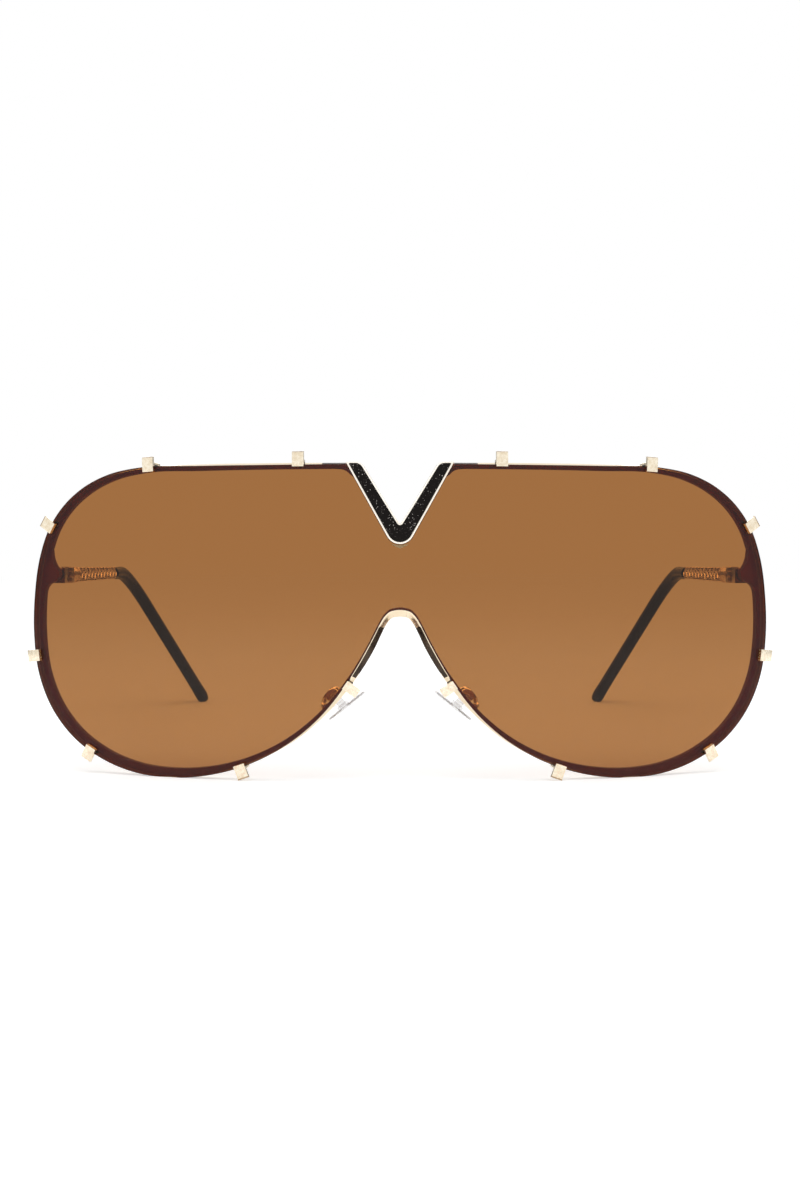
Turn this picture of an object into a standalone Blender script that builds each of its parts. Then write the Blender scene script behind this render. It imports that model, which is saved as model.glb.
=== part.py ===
"""Shield sunglasses with an aviator outline: one wrapped lens, a thin metal rim held on by fourteen claws,
a V bridge with an enamel inlay, folding braided temples with plastic tips, and rocking clear nose pads.

Metres, +Z up, the lens faces -Y, left and right are the wearer's. The origin lies under the middle of the
glasses, on the surface that they stand on. Sizes below are in millimetres and degrees.
"""

from math import cos, pi, radians, sin, sqrt, tan

import bmesh
import bpy
import numpy as np
from mathutils import Matrix, Vector

MM = 0.001

# Base curve of the lens, which everything on the front follows
WRAP_RADIUS = 140.0
RISE_RADIUS = 400.0
RISE_CENTRE = 33.2

# Outline of one half of the lens, laid flat: across, up, how far the rim shows outside it, and inside it
LENS_HALF = (
    (11.3, 64.15, 0.45, 0.80),
    (26.0, 63.90, 0.55, 0.75),
    (42.0, 63.55, 0.50, 0.85),
    (54.2, 63.10, 0.20, 0.95),
    (61.6, 61.55, 0.05, 1.05),
    (67.3, 58.95, 0.00, 1.05),
    (72.3, 55.00, 0.00, 0.95),
    (75.9, 50.20, 0.00, 0.90),
    (78.2, 44.20, 0.00, 0.95),
    (79.5, 36.40, 0.00, 1.05),
    (79.8, 28.20, 0.00, 1.10),
    (78.8, 20.40, 0.00, 1.15),
    (75.9, 13.60, 0.00, 1.25),
    (70.8, 7.70, 0.00, 1.35),
    (64.4, 3.65, 0.00, 1.45),
    (56.4, 1.00, 0.00, 1.50),
    (48.0, 0.26, 0.00, 1.50),
    (40.0, 1.04, 0.00, 1.35),
    (30.7, 3.75, 0.15, 1.10),
    (22.3, 8.35, 0.60, 0.85),
    (15.7, 14.10, 0.90, 0.65),
    (10.6, 20.70, 1.28, 0.35),
    (6.4, 27.85, 1.38, 0.20),
    (4.96, 30.65, 1.28, 0.20),
    (4.11, 32.35, 1.28, 0.20),
    (3.11, 33.95, 1.42, 0.20),
    (2.12, 34.85, 1.60, 0.20),
    (1.0, 35.20, 1.68, 0.20),
)
ARCH_TOP = (0.0, 35.3, 1.68, 0.20)
OUTLINE_STEPS = 4
OUTLINE_STEPS_FINE = 80
LENS_THICKNESS = 1.8
FIT = 0.15

# Rim, and the lug on its inner side that carries the hinge
RIM_THICKNESS = 1.0
LUG = (
    (76.75, 45.9),
    (76.4, 44.0),
    (75.6, 42.5),
    (74.85, 41.7),
    (74.55, 41.0),
    (74.75, 40.2),
    (75.35, 39.55),
    (77.3, 38.65),
    (77.9, 38.05),
    (78.3, 37.2),
)
LUG_BLEND = 0.4

# Rim's toe beside the V: out from the V's side, and below the lens's top, with its foot on that side
RIM_TOE = ((2.86, 0.97), (1.61, 1.25), (1.04, 1.55), (0.67, 2.05))
RIM_TOE_DROP = 2.5
LEAST_STEP = 0.6

# V bridge: it stands V_RISE above the lens, its outer lines would meet at V_POINT, and those of the notch
# in it at NOTCH_POINT
V_RISE = 0.45
V_HALF_WIDTH = 10.85
V_POINT = 45.3
V_ROUND = 2.9
NOTCH_HALF_WIDTH = 7.9
NOTCH_POINT = 51.9
NOTCH_ROUND = 0.45
NOTCH_MOUTH_ROUND = 1.8
V_PROUD = 0.5
V_CORNER_ROUND = 0.15
ENAMEL_BORDER = 0.4
ENAMEL_INNER_BORDER = 0.22
ENAMEL_DEPTH = 0.35
ENAMEL_FIT = 0.05

# Claws: a square stud on the lens's face and a thin, narrower strap down its edge, hooked behind the rim.
# The places are the middles of the studs on the flat layout
CLAWS = {
    "brow_inner": (20.55, 65.2),
    "brow_outer": (52.25, 63.8),
    "temple_upper": (75.85, 51.05),
    "temple_lower": (79.5, 24.0),
    "cheek_outer": (66.6, 4.45),
    "cheek_inner": (32.45, 2.1),
    "nose": (9.3, 19.0),
}
STUD_LENGTH = 3.0
STUD_WIDTH = 2.4
STUD_PROUD = 0.85
LEAST_GRIP = 0.25
STRAP_WIDTH = 1.5
STRAP_THICKNESS = 0.55
HOOK_THICKNESS = 0.6
HOOK_REACH = 0.4
CLAW_ROUND = 0.15
CLAW_FIT = 0.12

# Hinge: the pin's axis leans back so that the temple runs down to the ear square to it
HINGE_X = 70.0
HINGE_DEPTH = 31.0
HINGE_HEIGHT = 39.9
TEMPLE_DROP = 3.7
TEMPLE_IN = 2.65
BARREL_RADIUS = 1.5
BARREL_HEIGHT = 3.15
MIDDLE_KNUCKLE = 1.0
KNUCKLE_FIT = 0.13
LEG_WIDTH = 1.8
LUG_SEAT = (74.2, 77.6)
LUG_SEAT_HEIGHT = 41.0
LUG_SEAT_FIT = 0.25
LEAF_THICKNESS = 1.1
LEAF_STEP = 0.5
HINGE_BLOCK_START = 1.8
HINGE_BLOCK_END = 4.7
HINGE_BLOCK_WIDTH = 2.2
SCREW_RADIUS = 0.55
SCREW_FIT = 0.13
SCREW_HEAD_RADIUS = 0.95
SCREW_HEAD_HEIGHT = 0.45
SCREW_SINK = 0.4
HEAD_CHAMFER = 0.15
SLOT_WIDTH = 0.25
SLOT_DEPTH = 0.25

# Temple: an oval braided bar that slims towards the ear, with two plain rings, and a core wire in the tip
TEMPLE_END = 71.2
TEMPLE_FRONT_HEIGHT = 3.15
TEMPLE_BACK_HEIGHT = 2.7
TEMPLE_THICKNESS_SHARE = 0.76
RING_PLACES = (5.6, 13.2)
RING_LENGTH = 0.9
RING_PROUD = 0.16
BRAZE_FIT = 0.1
CORE_RADIUS = 0.55
CORE_FIT = 0.14
CORE_ROOT = 2.0
CORE_IN_TIP = 38.0
CORE_END_FIT = 1.0

# Tip: a flat hooked sleeve, bent down and leaning in towards the ear, that widens and thins to its end
TIP_MOUTH_WIDTH = 2.45
TIP_END_WIDTH = 4.3
TIP_MOUTH_THICKNESS = 2.45
TIP_END_THICKNESS = 2.2
TIP_ROUND = 0.9
TIP_LEAD = 12.7
TIP_BEND_RADIUS = 20.0
TIP_BEND = 57.7
TIP_LEAN = 27.4
TIP_FIT = 0.15

# Nose pads: a box on a wire arm holds the pad's stem with a small screw, and the pad rocks on it
PAD_AXIS = (13.4, 11.0, 17.0)
PAD_SPREAD = 50.6
PAD_SPLAY = 12.0
PAD_LENGTH = 12.2
PAD_WIDTH = 6.0
PAD_THICKNESS = 2.1
PAD_ROUND = 0.8
PAD_POINTS = 28
PAD_STANDOFF = 2.9
STEM_WIDTH = 1.6
STEM_THICKNESS = 0.8
BOX_FRONT = 1.0
BOX_LENGTH = 2.8
BOX_WIDTH = 2.5
BOX_FLOOR = 0.45
BOX_FIT = 0.15
PAD_SCREW_RADIUS = 0.3
PAD_SCREW_HEAD_RADIUS = 0.6
PAD_SCREW_HEAD_HEIGHT = 0.4
PAD_SCREW_FIT = 0.12
ARM_RADIUS = 0.5
ARM_FOOT = (15.2, 14.9)
ARM_FOOT_RADIUS = 0.85
ARM_FOOT_HEIGHT = 0.5
ARM_LOOP = ((15.5, 14.8, 9.0), (15.6, 14.9, 12.4), (15.3, 15.9, 13.9))
ARM_SOCKET = (0.85, -0.75)
ARM_SOCKET_DEPTH = 0.5

# How far cutters run past what they cut
PAST = 1.0

# Finishes: red, green, blue, roughness, metallic, opacity
FINISHES = {
    "brown_lens": (0.36, 0.155, 0.055, 0.05, 0.0, 0.6),
    "gold_metal": (0.86, 0.70, 0.47, 0.22, 1.0, 1.0),
    "black_enamel": (0.012, 0.010, 0.010, 0.25, 0.0, 1.0),
    "brown_plastic": (0.035, 0.020, 0.016, 0.35, 0.0, 1.0),
    "clear_silicone": (0.90, 0.90, 0.90, 0.15, 0.0, 0.35),
}

RIM_FRONT = LENS_THICKNESS + FIT
RIM_BACK = RIM_FRONT + RIM_THICKNESS
LENS_TOP = LENS_HALF[0][1]
V_TOP = LENS_TOP + V_RISE


def clear_scene():
    for old in list(bpy.data.objects):
        bpy.data.objects.remove(old, do_unlink=True)


def make_collection(name):
    collection = bpy.data.collections.new(name)
    bpy.context.scene.collection.children.link(collection)
    return collection


def make_material(name, red, green, blue, roughness, metallic, opacity):
    material = bpy.data.materials.new(name)
    material.use_nodes = True
    shader = material.node_tree.nodes["Principled BSDF"]
    shader.inputs["Base Color"].default_value = (red, green, blue, 1.0)
    shader.inputs["Roughness"].default_value = roughness
    shader.inputs["Metallic"].default_value = metallic
    shader.inputs["Alpha"].default_value = opacity
    return material


def make_frame(name, place, turn, parent):
    """An empty that carries pieces: place in millimetres, turn as a rotation matrix."""
    frame = bpy.data.objects.new(name, None)
    frame.empty_display_size = 5 * MM
    frame.matrix_local = Matrix.Translation(Vector(place) * MM) @ turn.to_4x4()
    frame.parent = parent
    parts.objects.link(frame)
    return frame


# Drawing helpers: outlines, paths and the solids made from them, all in millimetres

def smooth(knots, steps):
    """Points of a smooth curve through the knots. Columns after the place are carried along."""
    knots = np.array(knots, float)
    places = knots[:, : 3 if knots.shape[1] == 3 else 2]
    run = np.concatenate([[0.0], np.cumsum(np.linalg.norm(np.diff(places, axis=0), axis=1))])
    slope = np.gradient(knots, run, axis=0)
    path = []
    for i, length in enumerate(np.diff(run)):
        for t in np.arange(steps) / steps:
            start = (1 + 2 * t) * (1 - t) ** 2 * knots[i] + t * (1 - t) ** 2 * length * slope[i]
            end = t * t * (3 - 2 * t) * knots[i + 1] - t * t * (1 - t) * length * slope[i + 1]
            path.append(start + end)
    path.append(knots[-1])
    return np.array(path)


def fillet(before, corner, after, radius, steps=5):
    """Points of the arc that rounds a corner between its two neighbours."""
    corner = Vector(corner)
    back = (Vector(before) - corner).normalized()
    onward = (Vector(after) - corner).normalized()
    half = back.angle(onward) / 2
    centre = corner + (back + onward).normalized() * radius / sin(half)
    spoke = corner + back * radius / tan(half) - centre
    sweep = (pi - 2 * half) * (1 if back.cross(onward) < 0 else -1)
    return [tuple(centre + Matrix.Rotation(sweep * k / steps, 2) @ spoke) for k in range(steps + 1)]


def rounded(corners, radii):
    """A closed outline through the corners, each with an arc of its radius."""
    outline = []
    for i, radius in enumerate(radii):
        outline += fillet(corners[i - 1], corners[i], corners[(i + 1) % len(corners)], radius)
    return outline


def arc(centre, radius, start, end, steps):
    """Points of an arc, with its angles in radians."""
    angles = [start + (end - start) * k / steps for k in range(steps + 1)]
    return [(centre[0] + radius * cos(a), centre[1] + radius * sin(a)) for a in angles]


def outward_normals(path):
    """Unit normals on the left of a path's direction."""
    along = np.gradient(path[:, :2], axis=0)
    along /= np.linalg.norm(along, axis=1, keepdims=True)
    return np.column_stack([-along[:, 1], along[:, 0]])


def from_curve(curve):
    """The solid of a curve as a bmesh, with its caps welded on."""
    holder = bpy.data.objects.new("curve_holder", curve)
    cutters.objects.link(holder)
    bpy.context.view_layer.update()
    evaluated = holder.evaluated_get(bpy.context.evaluated_depsgraph_get())
    mesh = bpy.data.meshes.new_from_object(evaluated)
    solid = bmesh.new()
    solid.from_mesh(mesh)
    bmesh.ops.remove_doubles(solid, verts=solid.verts, dist=0.001)
    bpy.data.objects.remove(holder, do_unlink=True)
    bpy.data.curves.remove(curve)
    bpy.data.meshes.remove(mesh)
    return solid


def add_spline(curve, points, closed):
    spline = curve.splines.new("POLY")
    spline.points.add(len(points) - 1)
    for knot, point in zip(spline.points, points):
        knot.co = (point[0], point[1], point[2] if len(point) > 2 else 0.0, 1.0)
    spline.use_cyclic_u = closed


def extruded(outline, low, high):
    """A closed flat outline made solid from low to high along Z."""
    curve = bpy.data.curves.new("outline", "CURVE")
    curve.dimensions = "2D"
    curve.fill_mode = "BOTH"
    curve.extrude = (high - low) / 2
    add_spline(curve, outline, True)
    solid = from_curve(curve)
    bmesh.ops.dissolve_limit(solid, angle_limit=radians(0.5), verts=solid.verts, edges=solid.edges)
    bmesh.ops.translate(solid, vec=(0, 0, (low + high) / 2), verts=solid.verts)
    return solid


def tube(points, radius):
    """A round wire along the points."""
    curve = bpy.data.curves.new("wire", "CURVE")
    curve.dimensions = "3D"
    curve.bevel_depth = radius
    curve.bevel_resolution = 2
    curve.use_fill_caps = True
    add_spline(curve, points, False)
    return from_curve(curve)


def box(low, high):
    solid = bmesh.new()
    bmesh.ops.create_cube(solid, size=1.0)
    size = Vector(high) - Vector(low)
    bmesh.ops.scale(solid, vec=size, verts=solid.verts)
    bmesh.ops.translate(solid, vec=(Vector(low) + Vector(high)) / 2, verts=solid.verts)
    return solid


def cylinder(radius, low, high, segments=24, end_radius=None):
    """A cylinder or cone on the Z axis from low to high."""
    solid = bmesh.new()
    bmesh.ops.create_cone(
        solid,
        cap_ends=True,
        segments=segments,
        radius1=radius,
        radius2=radius if end_radius is None else end_radius,
        depth=high - low,
    )
    bmesh.ops.translate(solid, vec=(0, 0, (low + high) / 2), verts=solid.verts)
    return solid


def turned(solid, matrix):
    bmesh.ops.transform(solid, matrix=matrix, verts=solid.verts)
    return solid


# Axes that stand a Z solid up along Y, and that lay a flat XY outline in the XZ plane
ALONG_Y = Matrix.Rotation(radians(-90), 4, "X")
FLAT_TO_XZ = Matrix(((1, 0, 0, 0), (0, 0, 1, 0), (0, 1, 0, 0), (0, 0, 0, 1)))


def formed(across, up, depth):
    """A point of the flat layout bent to the lens's base curve: x, depth behind the front, height."""
    turn = across / WRAP_RADIUS
    lift = (up - RISE_CENTRE) / RISE_RADIUS
    reach = WRAP_RADIUS - RISE_RADIUS + (RISE_RADIUS - depth) * cos(lift)
    height = RISE_CENTRE + (RISE_RADIUS - depth) * sin(lift)
    return Vector((reach * sin(turn), WRAP_RADIUS - reach * cos(turn), height))


def form(solid, column=8.0, row=16.0):
    """Cuts a flat blank into columns and rows, then bends it to the base curve."""
    reach = max(abs(corner.co.x) for corner in solid.verts)
    rise = max(corner.co.y for corner in solid.verts)
    cuts = [((k * column, 0, 0), (1, 0, 0)) for k in range(-int(reach / column), int(reach / column) + 1)]
    cuts += [((0, k * row, 0), (0, 1, 0)) for k in range(1, int(rise / row) + 1)]
    for place, normal in cuts:
        everything = solid.verts[:] + solid.edges[:] + solid.faces[:]
        bmesh.ops.bisect_plane(solid, geom=everything, dist=0.0005, plane_co=place, plane_no=normal)
    for corner in solid.verts:
        corner.co = formed(*corner.co)
    return solid


def add_solid(name, solid, finish, parent, side=1):
    """Makes the object of a solid, mirrored for the wearer's right. Without a finish it's a helper."""
    bmesh.ops.scale(solid, vec=(side * MM, MM, MM), verts=solid.verts)
    bmesh.ops.recalc_face_normals(solid, faces=solid.faces)
    mesh = bpy.data.meshes.new(name)
    solid.to_mesh(mesh)
    solid.free()
    mesh.shade_smooth()
    mesh.set_sharp_from_angle(angle=radians(35))
    piece = bpy.data.objects.new(name, mesh)
    piece.parent = parent
    if finish:
        mesh.materials.append(materials[finish])
        parts.objects.link(piece)
    else:
        piece.hide_render = True
        piece.display_type = "WIRE"
        cutters.objects.link(piece)
    return piece


def combine(piece, operation, name, solid, parent, side=1):
    """Joins a helper solid to a piece, or cuts it out."""
    modifier = piece.modifiers.new(name, "BOOLEAN")
    modifier.operation = operation
    modifier.solver = "EXACT"
    modifier.object = add_solid(name, solid, None, parent, side)


def round_edges(piece, width, segments=2):
    modifier = piece.modifiers.new("rounded_edges", "BEVEL")
    modifier.width = width * MM
    modifier.segments = segments
    modifier.limit_method = "ANGLE"
    modifier.angle_limit = radians(40)


def side_name(side):
    return "left" if side > 0 else "right"


# Outlines that the front pieces share

def lens_edge(steps=OUTLINE_STEPS):
    """The lens's edge from the left end of the V, round both halves, to its right end."""
    mirrored = [(-u, v, out, inside) for u, v, out, inside in reversed(LENS_HALF)]
    return smooth([*LENS_HALF, ARCH_TOP, *mirrored], steps)


def v_line(up, gap):
    """How far out the V's outer side lies at a height, moved out by a gap."""
    slant = V_HALF_WIDTH / (V_TOP - V_POINT)
    return (up - V_POINT) * slant + gap * sqrt(1 + slant * slant)


def v_path(gap, top):
    """The V's outer side moved out by a gap, from the right down to its point and up to the left."""
    slant = V_HALF_WIDTH / (V_TOP - V_POINT)
    right = (-v_line(top, gap), top)
    point = (0, V_POINT - gap * sqrt(1 + slant * slant) / slant)
    left = (v_line(top, gap), top)
    return [right, *fillet(right, point, left, V_ROUND + gap), left]


def beyond_v(outline):
    """The points of an outline that lie a step or more outside the V."""
    return [tuple(p[:2]) for p in outline if abs(p[0]) > v_line(p[1], FIT) + LEAST_STEP]


def make_lens():
    outline = beyond_v(lens_edge()) + v_path(FIT, LENS_TOP)
    return add_solid("shield_lens", form(extruded(outline, 0, LENS_THICKNESS)), "brown_lens", front)


def make_rim():
    edge = lens_edge()
    normal = outward_normals(edge)
    outer = edge[:, :2] + normal * edge[:, 2:3]
    inner = edge[:, :2] - normal * edge[:, 3:4]
    half = len(edge) // 2
    lug = smooth(LUG, 3)
    toe = smooth([(v_line(LENS_TOP - drop, FIT) + out, LENS_TOP - drop) for out, drop in RIM_TOE], 3)
    beside = inner[: half + 1]
    above = [p for p in beside if p[0] > toe[0][0] and p[1] > LUG[0][1] + LUG_BLEND]
    below = [p for p in beside if p[1] < LUG[-1][1] - LUG_BLEND]
    foot = (v_line(LENS_TOP - RIM_TOE_DROP, FIT), LENS_TOP - RIM_TOE_DROP)
    inner_half = [foot, *toe[::-1], *above, *lug, *below]
    top = outer[0][1]
    ends = (v_line(top, FIT), top)
    outline = [ends, *beyond_v(outer), (-ends[0], ends[1])]
    outline += [(-p[0], p[1]) for p in inner_half]
    outline += [tuple(p) for p in reversed(inner_half[:-1])]
    return add_solid("front_rim", form(extruded(outline, RIM_FRONT, RIM_BACK)), "gold_metal", front)


def v_outline(border, notch_border, top):
    """The V as a closed outline, drawn in from its outer side and from its notch by a border."""
    slant = V_HALF_WIDTH / (V_TOP - V_POINT)
    point = V_POINT + border * sqrt(1 + slant * slant) / slant
    notch_slant = NOTCH_HALF_WIDTH / (V_TOP - NOTCH_POINT)
    shift = notch_border * sqrt(1 + notch_slant * notch_slant)
    notch_point = NOTCH_POINT - shift / notch_slant
    mouth = (top - NOTCH_POINT) * notch_slant + shift
    corners = (
        (v_line(top, -border), top),
        (0, point),
        (-v_line(top, -border), top),
        (-mouth, top),
        (0, notch_point),
        (mouth, top),
    )
    mouth_round = NOTCH_MOUTH_ROUND - notch_border
    notch_round = NOTCH_ROUND + notch_border
    radii = (V_CORNER_ROUND, V_ROUND - border, V_CORNER_ROUND, mouth_round, notch_round, mouth_round)
    return rounded(corners, radii)


def make_v_bridge():
    plate = form(extruded(v_outline(0, 0, V_TOP), -V_PROUD, RIM_BACK))
    bridge = add_solid("v_bridge_trim", plate, "gold_metal", front)
    top = V_TOP - ENAMEL_BORDER / 2
    floor = ENAMEL_DEPTH - V_PROUD
    tray = extruded(v_outline(ENAMEL_BORDER, ENAMEL_INNER_BORDER, top), -V_PROUD - PAST, floor)
    combine(bridge, "DIFFERENCE", "v_bridge_tray", form(tray), front)
    outline = v_outline(ENAMEL_BORDER + ENAMEL_FIT, ENAMEL_INNER_BORDER + ENAMEL_FIT, top - ENAMEL_FIT)
    inlay = extruded(outline, ENAMEL_FIT - V_PROUD, floor - ENAMEL_FIT)
    add_solid("v_bridge_enamel", form(inlay), "black_enamel", front)


def on_edge(profile, width, foot, normal):
    """A claw's profile (out, depth) made solid across a width and set on the lens's edge at its foot."""
    solid = extruded(profile, -width / 2, width / 2)
    for corner in solid.verts:
        out, depth, along = corner.co
        across = foot[0] + normal[0] * out - normal[1] * along
        up = foot[1] + normal[1] * out + normal[0] * along
        corner.co = formed(across, up, depth)
    return solid


def make_claws():
    edge = lens_edge(OUTLINE_STEPS_FINE)
    normals = outward_normals(edge)
    back = RIM_BACK + CLAW_FIT
    for place, centre in CLAWS.items():
        nearest = int(np.argmin(np.linalg.norm(edge[:, :2] - centre, axis=1)))
        foot = edge[nearest, :2]
        normal = normals[nearest]
        middle = float(np.dot(np.array(centre) - foot, normal))
        outer = middle + STUD_LENGTH / 2
        inner = min(middle - STUD_LENGTH / 2, -LEAST_GRIP)
        strap_in = edge[nearest, 2] + CLAW_FIT
        strap_out = strap_in + STRAP_THICKNESS
        stud = ((inner, -STUD_PROUD), (outer, -STUD_PROUD), (outer, -CLAW_FIT), (inner, -CLAW_FIT))
        root = -(STUD_PROUD + CLAW_FIT) / 2
        strap = (
            (strap_in, root),
            (strap_out, root),
            (strap_out, back + HOOK_THICKNESS),
            (-HOOK_REACH, back + HOOK_THICKNESS),
            (-HOOK_REACH, back),
            (strap_in, back),
        )
        for side in (1, -1):
            name = side_name(side)
            head = on_edge(stud, STUD_WIDTH, foot, normal)
            claw = add_solid(f"claw_{name}_{place}", head, "gold_metal", front, side)
            tail = on_edge(strap, STRAP_WIDTH, foot, normal)
            combine(claw, "UNION", f"claw_strap_{name}_{place}", tail, front, side)
            round_edges(claw, CLAW_ROUND)


def hinge_turn(side):
    """Rotation of a hinge's frame: Z along its pin, Y along the open temple."""
    return Matrix.Rotation(side * radians(TEMPLE_IN), 3, "Z") @ Matrix.Rotation(-radians(TEMPLE_DROP), 3, "X")


def hinge_bore():
    return cylinder(SCREW_RADIUS + SCREW_FIT, -BARREL_HEIGHT, BARREL_HEIGHT)


def make_front_hinge(side, frame):
    """The half hinge on the rim's lug: a leaf on the lug, a leg, and the outer two knuckles."""
    name = side_name(side)
    to_hinge = (Matrix.Translation((HINGE_X, HINGE_DEPTH, HINGE_HEIGHT)) @ hinge_turn(1).to_4x4()).inverted()
    seat_depth = RIM_BACK + LUG_SEAT_FIT
    seat = [to_hinge @ formed(across, LUG_SEAT_HEIGHT, seat_depth) for across in LUG_SEAT]
    back = [to_hinge @ formed(across, LUG_SEAT_HEIGHT, seat_depth + LEAF_THICKNESS) for across in LUG_SEAT]
    half_leg = LEG_WIDTH / 2
    start = -np.arctan2(sqrt(BARREL_RADIUS**2 - half_leg**2), half_leg)
    outline = [tuple(corner.xy) for corner in (*seat, back[1])]
    outline.append((half_leg, (back[0].y + back[1].y) / 2 + LEAF_STEP))
    outline += arc((0, 0), BARREL_RADIUS, start, pi - start, 16)
    half_barrel = BARREL_HEIGHT / 2
    leaf = extruded(outline, -half_barrel, half_barrel)
    hinge = add_solid(f"front_hinge_{name}", leaf, "gold_metal", frame, side)
    half_gap = MIDDLE_KNUCKLE / 2 + KNUCKLE_FIT
    gap = cylinder(BARREL_RADIUS + KNUCKLE_FIT, -half_gap, half_gap)
    combine(hinge, "DIFFERENCE", f"knuckle_gap_{name}", gap, frame, side)
    combine(hinge, "DIFFERENCE", f"front_bore_{name}", hinge_bore(), frame, side)
    sink = cylinder(SCREW_HEAD_RADIUS + SCREW_FIT, half_barrel - SCREW_SINK, half_barrel + PAST)
    combine(hinge, "DIFFERENCE", f"screw_sink_{name}", sink, frame, side)


def make_temple_hinge(side, frame):
    """The half hinge on the temple: the middle knuckle on a neck, and the block brazed to the bar."""
    name = side_name(side)
    half_leg = LEG_WIDTH / 2
    opening = np.arctan2(half_leg, sqrt(BARREL_RADIUS**2 - half_leg**2))
    outline = arc((0, 0), BARREL_RADIUS, pi / 2 + opening, 5 * pi / 2 - opening, 16)
    reach = (HINGE_BLOCK_START + HINGE_BLOCK_END) / 2
    outline += [(half_leg, reach), (-half_leg, reach)]
    knuckle = extruded(outline, -MIDDLE_KNUCKLE / 2, MIDDLE_KNUCKLE / 2)
    hinge = add_solid(f"temple_hinge_{name}", knuckle, "gold_metal", frame, side)
    half_width = HINGE_BLOCK_WIDTH / 2
    half_height = TEMPLE_FRONT_HEIGHT / 2
    block = box((-half_width, HINGE_BLOCK_START, -half_height), (half_width, HINGE_BLOCK_END, half_height))
    combine(hinge, "UNION", f"hinge_block_{name}", block, frame, side)
    combine(hinge, "DIFFERENCE", f"temple_bore_{name}", hinge_bore(), frame, side)


def make_screw(name, radius, low, seat, head_radius, head_height, turn, parent, side):
    """A slotted screw on a turned Z axis: its shank runs from low up to the seat of its head."""
    top = seat + head_height
    profile = (
        (0, top),
        (head_radius - HEAD_CHAMFER, top),
        (head_radius, top - HEAD_CHAMFER),
        (head_radius, seat),
        (radius, seat),
        (radius, low),
        (0, low),
    )
    solid = bmesh.new()
    corners = [solid.verts.new((x, 0, z)) for x, z in profile]
    for a, b in zip(corners, corners[1:]):
        solid.edges.new((a, b))
    drawn = corners + solid.edges[:]
    bmesh.ops.spin(solid, geom=drawn, cent=(0, 0, 0), axis=(0, 0, 1), angle=2 * pi, steps=16, use_merge=True)
    bmesh.ops.remove_doubles(solid, verts=solid.verts, dist=0.001)
    screw = add_solid(name, turned(solid, turn), "gold_metal", parent, side)
    reach = head_radius + PAST
    slot = box((-reach, -SLOT_WIDTH / 2, top - SLOT_DEPTH), (reach, SLOT_WIDTH / 2, top + PAST))
    combine(screw, "DIFFERENCE", f"{name}_slot", turned(slot, turn), parent, side)


def temple_height(along):
    """The bar's height at a place along it."""
    share = (along - HINGE_BLOCK_END) / (TEMPLE_END - HINGE_BLOCK_END)
    return TEMPLE_FRONT_HEIGHT + (TEMPLE_BACK_HEIGHT - TEMPLE_FRONT_HEIGHT) * share


def oval_bar(start, end, proud=0.0, segments=20):
    """A stretch of the temple's oval bar from start to end along Y."""
    low = temple_height(start) / 2 + proud
    high = temple_height(end) / 2 + proud
    solid = turned(cylinder(low, start, end, segments, high), ALONG_Y)
    bmesh.ops.scale(solid, vec=(TEMPLE_THICKNESS_SHARE, 1, 1), verts=solid.verts)
    return solid


def tip_route():
    """Points of the tip's middle line in its own plane: along the temple, and towards the ear."""
    bend = radians(TIP_BEND)
    start = TEMPLE_END + TIP_FIT
    points = [(start, 0.0), (start + TIP_LEAD, 0.0)]
    steps = 10
    for k in range(1, steps + 1):
        turn = bend * k / steps
        points.append((start + TIP_LEAD + TIP_BEND_RADIUS * sin(turn), TIP_BEND_RADIUS * (1 - cos(turn))))
    drop, lean = radians(TEMPLE_DROP), radians(TIP_LEAN)
    fall = (sin(drop), cos(lean) * cos(drop))
    height = HINGE_HEIGHT - table_height - points[-1][0] * fall[0] - points[-1][1] * fall[1]
    end_reach = TIP_END_WIDTH / 2 * sqrt(fall[0] ** 2 + fall[1] ** 2)
    rate = cos(bend) * fall[0] + sin(bend) * fall[1]
    straight = (height - end_reach) / rate
    steps = 4
    last = points[-1]
    for k in range(1, steps + 1):
        run = straight * k / steps
        points.append((last[0] + run * cos(bend), last[1] + run * sin(bend)))
    return np.array(points)


def in_tip_plane():
    """Turns the tip's flat drawing into its leaning plane beside the temple."""
    lean = radians(TIP_LEAN)
    towards_ear = Vector((-sin(lean), 0, -cos(lean)))
    along = Vector((0, 1, 0))
    return Matrix((along, towards_ear, along.cross(towards_ear))).transposed().to_4x4()


def make_temple(side, frame):
    name = side_name(side)
    braid = oval_bar(HINGE_BLOCK_END + BRAZE_FIT, TEMPLE_END)
    bar = add_solid(f"temple_{name}", braid, "gold_metal", frame, side)
    for number, place in enumerate(RING_PLACES):
        ring = oval_bar(place - RING_LENGTH / 2, place + RING_LENGTH / 2, RING_PROUD)
        combine(bar, "UNION", f"temple_ring_{number}_{name}", ring, frame, side)
    core = core_wire(CORE_RADIUS, CORE_IN_TIP)
    combine(bar, "UNION", f"core_wire_{name}", core, frame, side)


def core_wire(radius, reach):
    """A wire along the tip's middle line, from its root in the bar to a reach inside the tip."""
    route = tip_route()
    run = np.concatenate([[0.0], np.cumsum(np.linalg.norm(np.diff(route, axis=0), axis=1))])
    kept = [tuple(point) for point, length in zip(route, run) if length < reach]
    last = [float(np.interp(reach, run, route[:, k])) for k in (0, 1)]
    flat = [(kept[0][0] - CORE_ROOT, 0.0), *kept[1:], tuple(last)]
    return turned(tube([(a, b, 0.0) for a, b in flat], radius), in_tip_plane())


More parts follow.
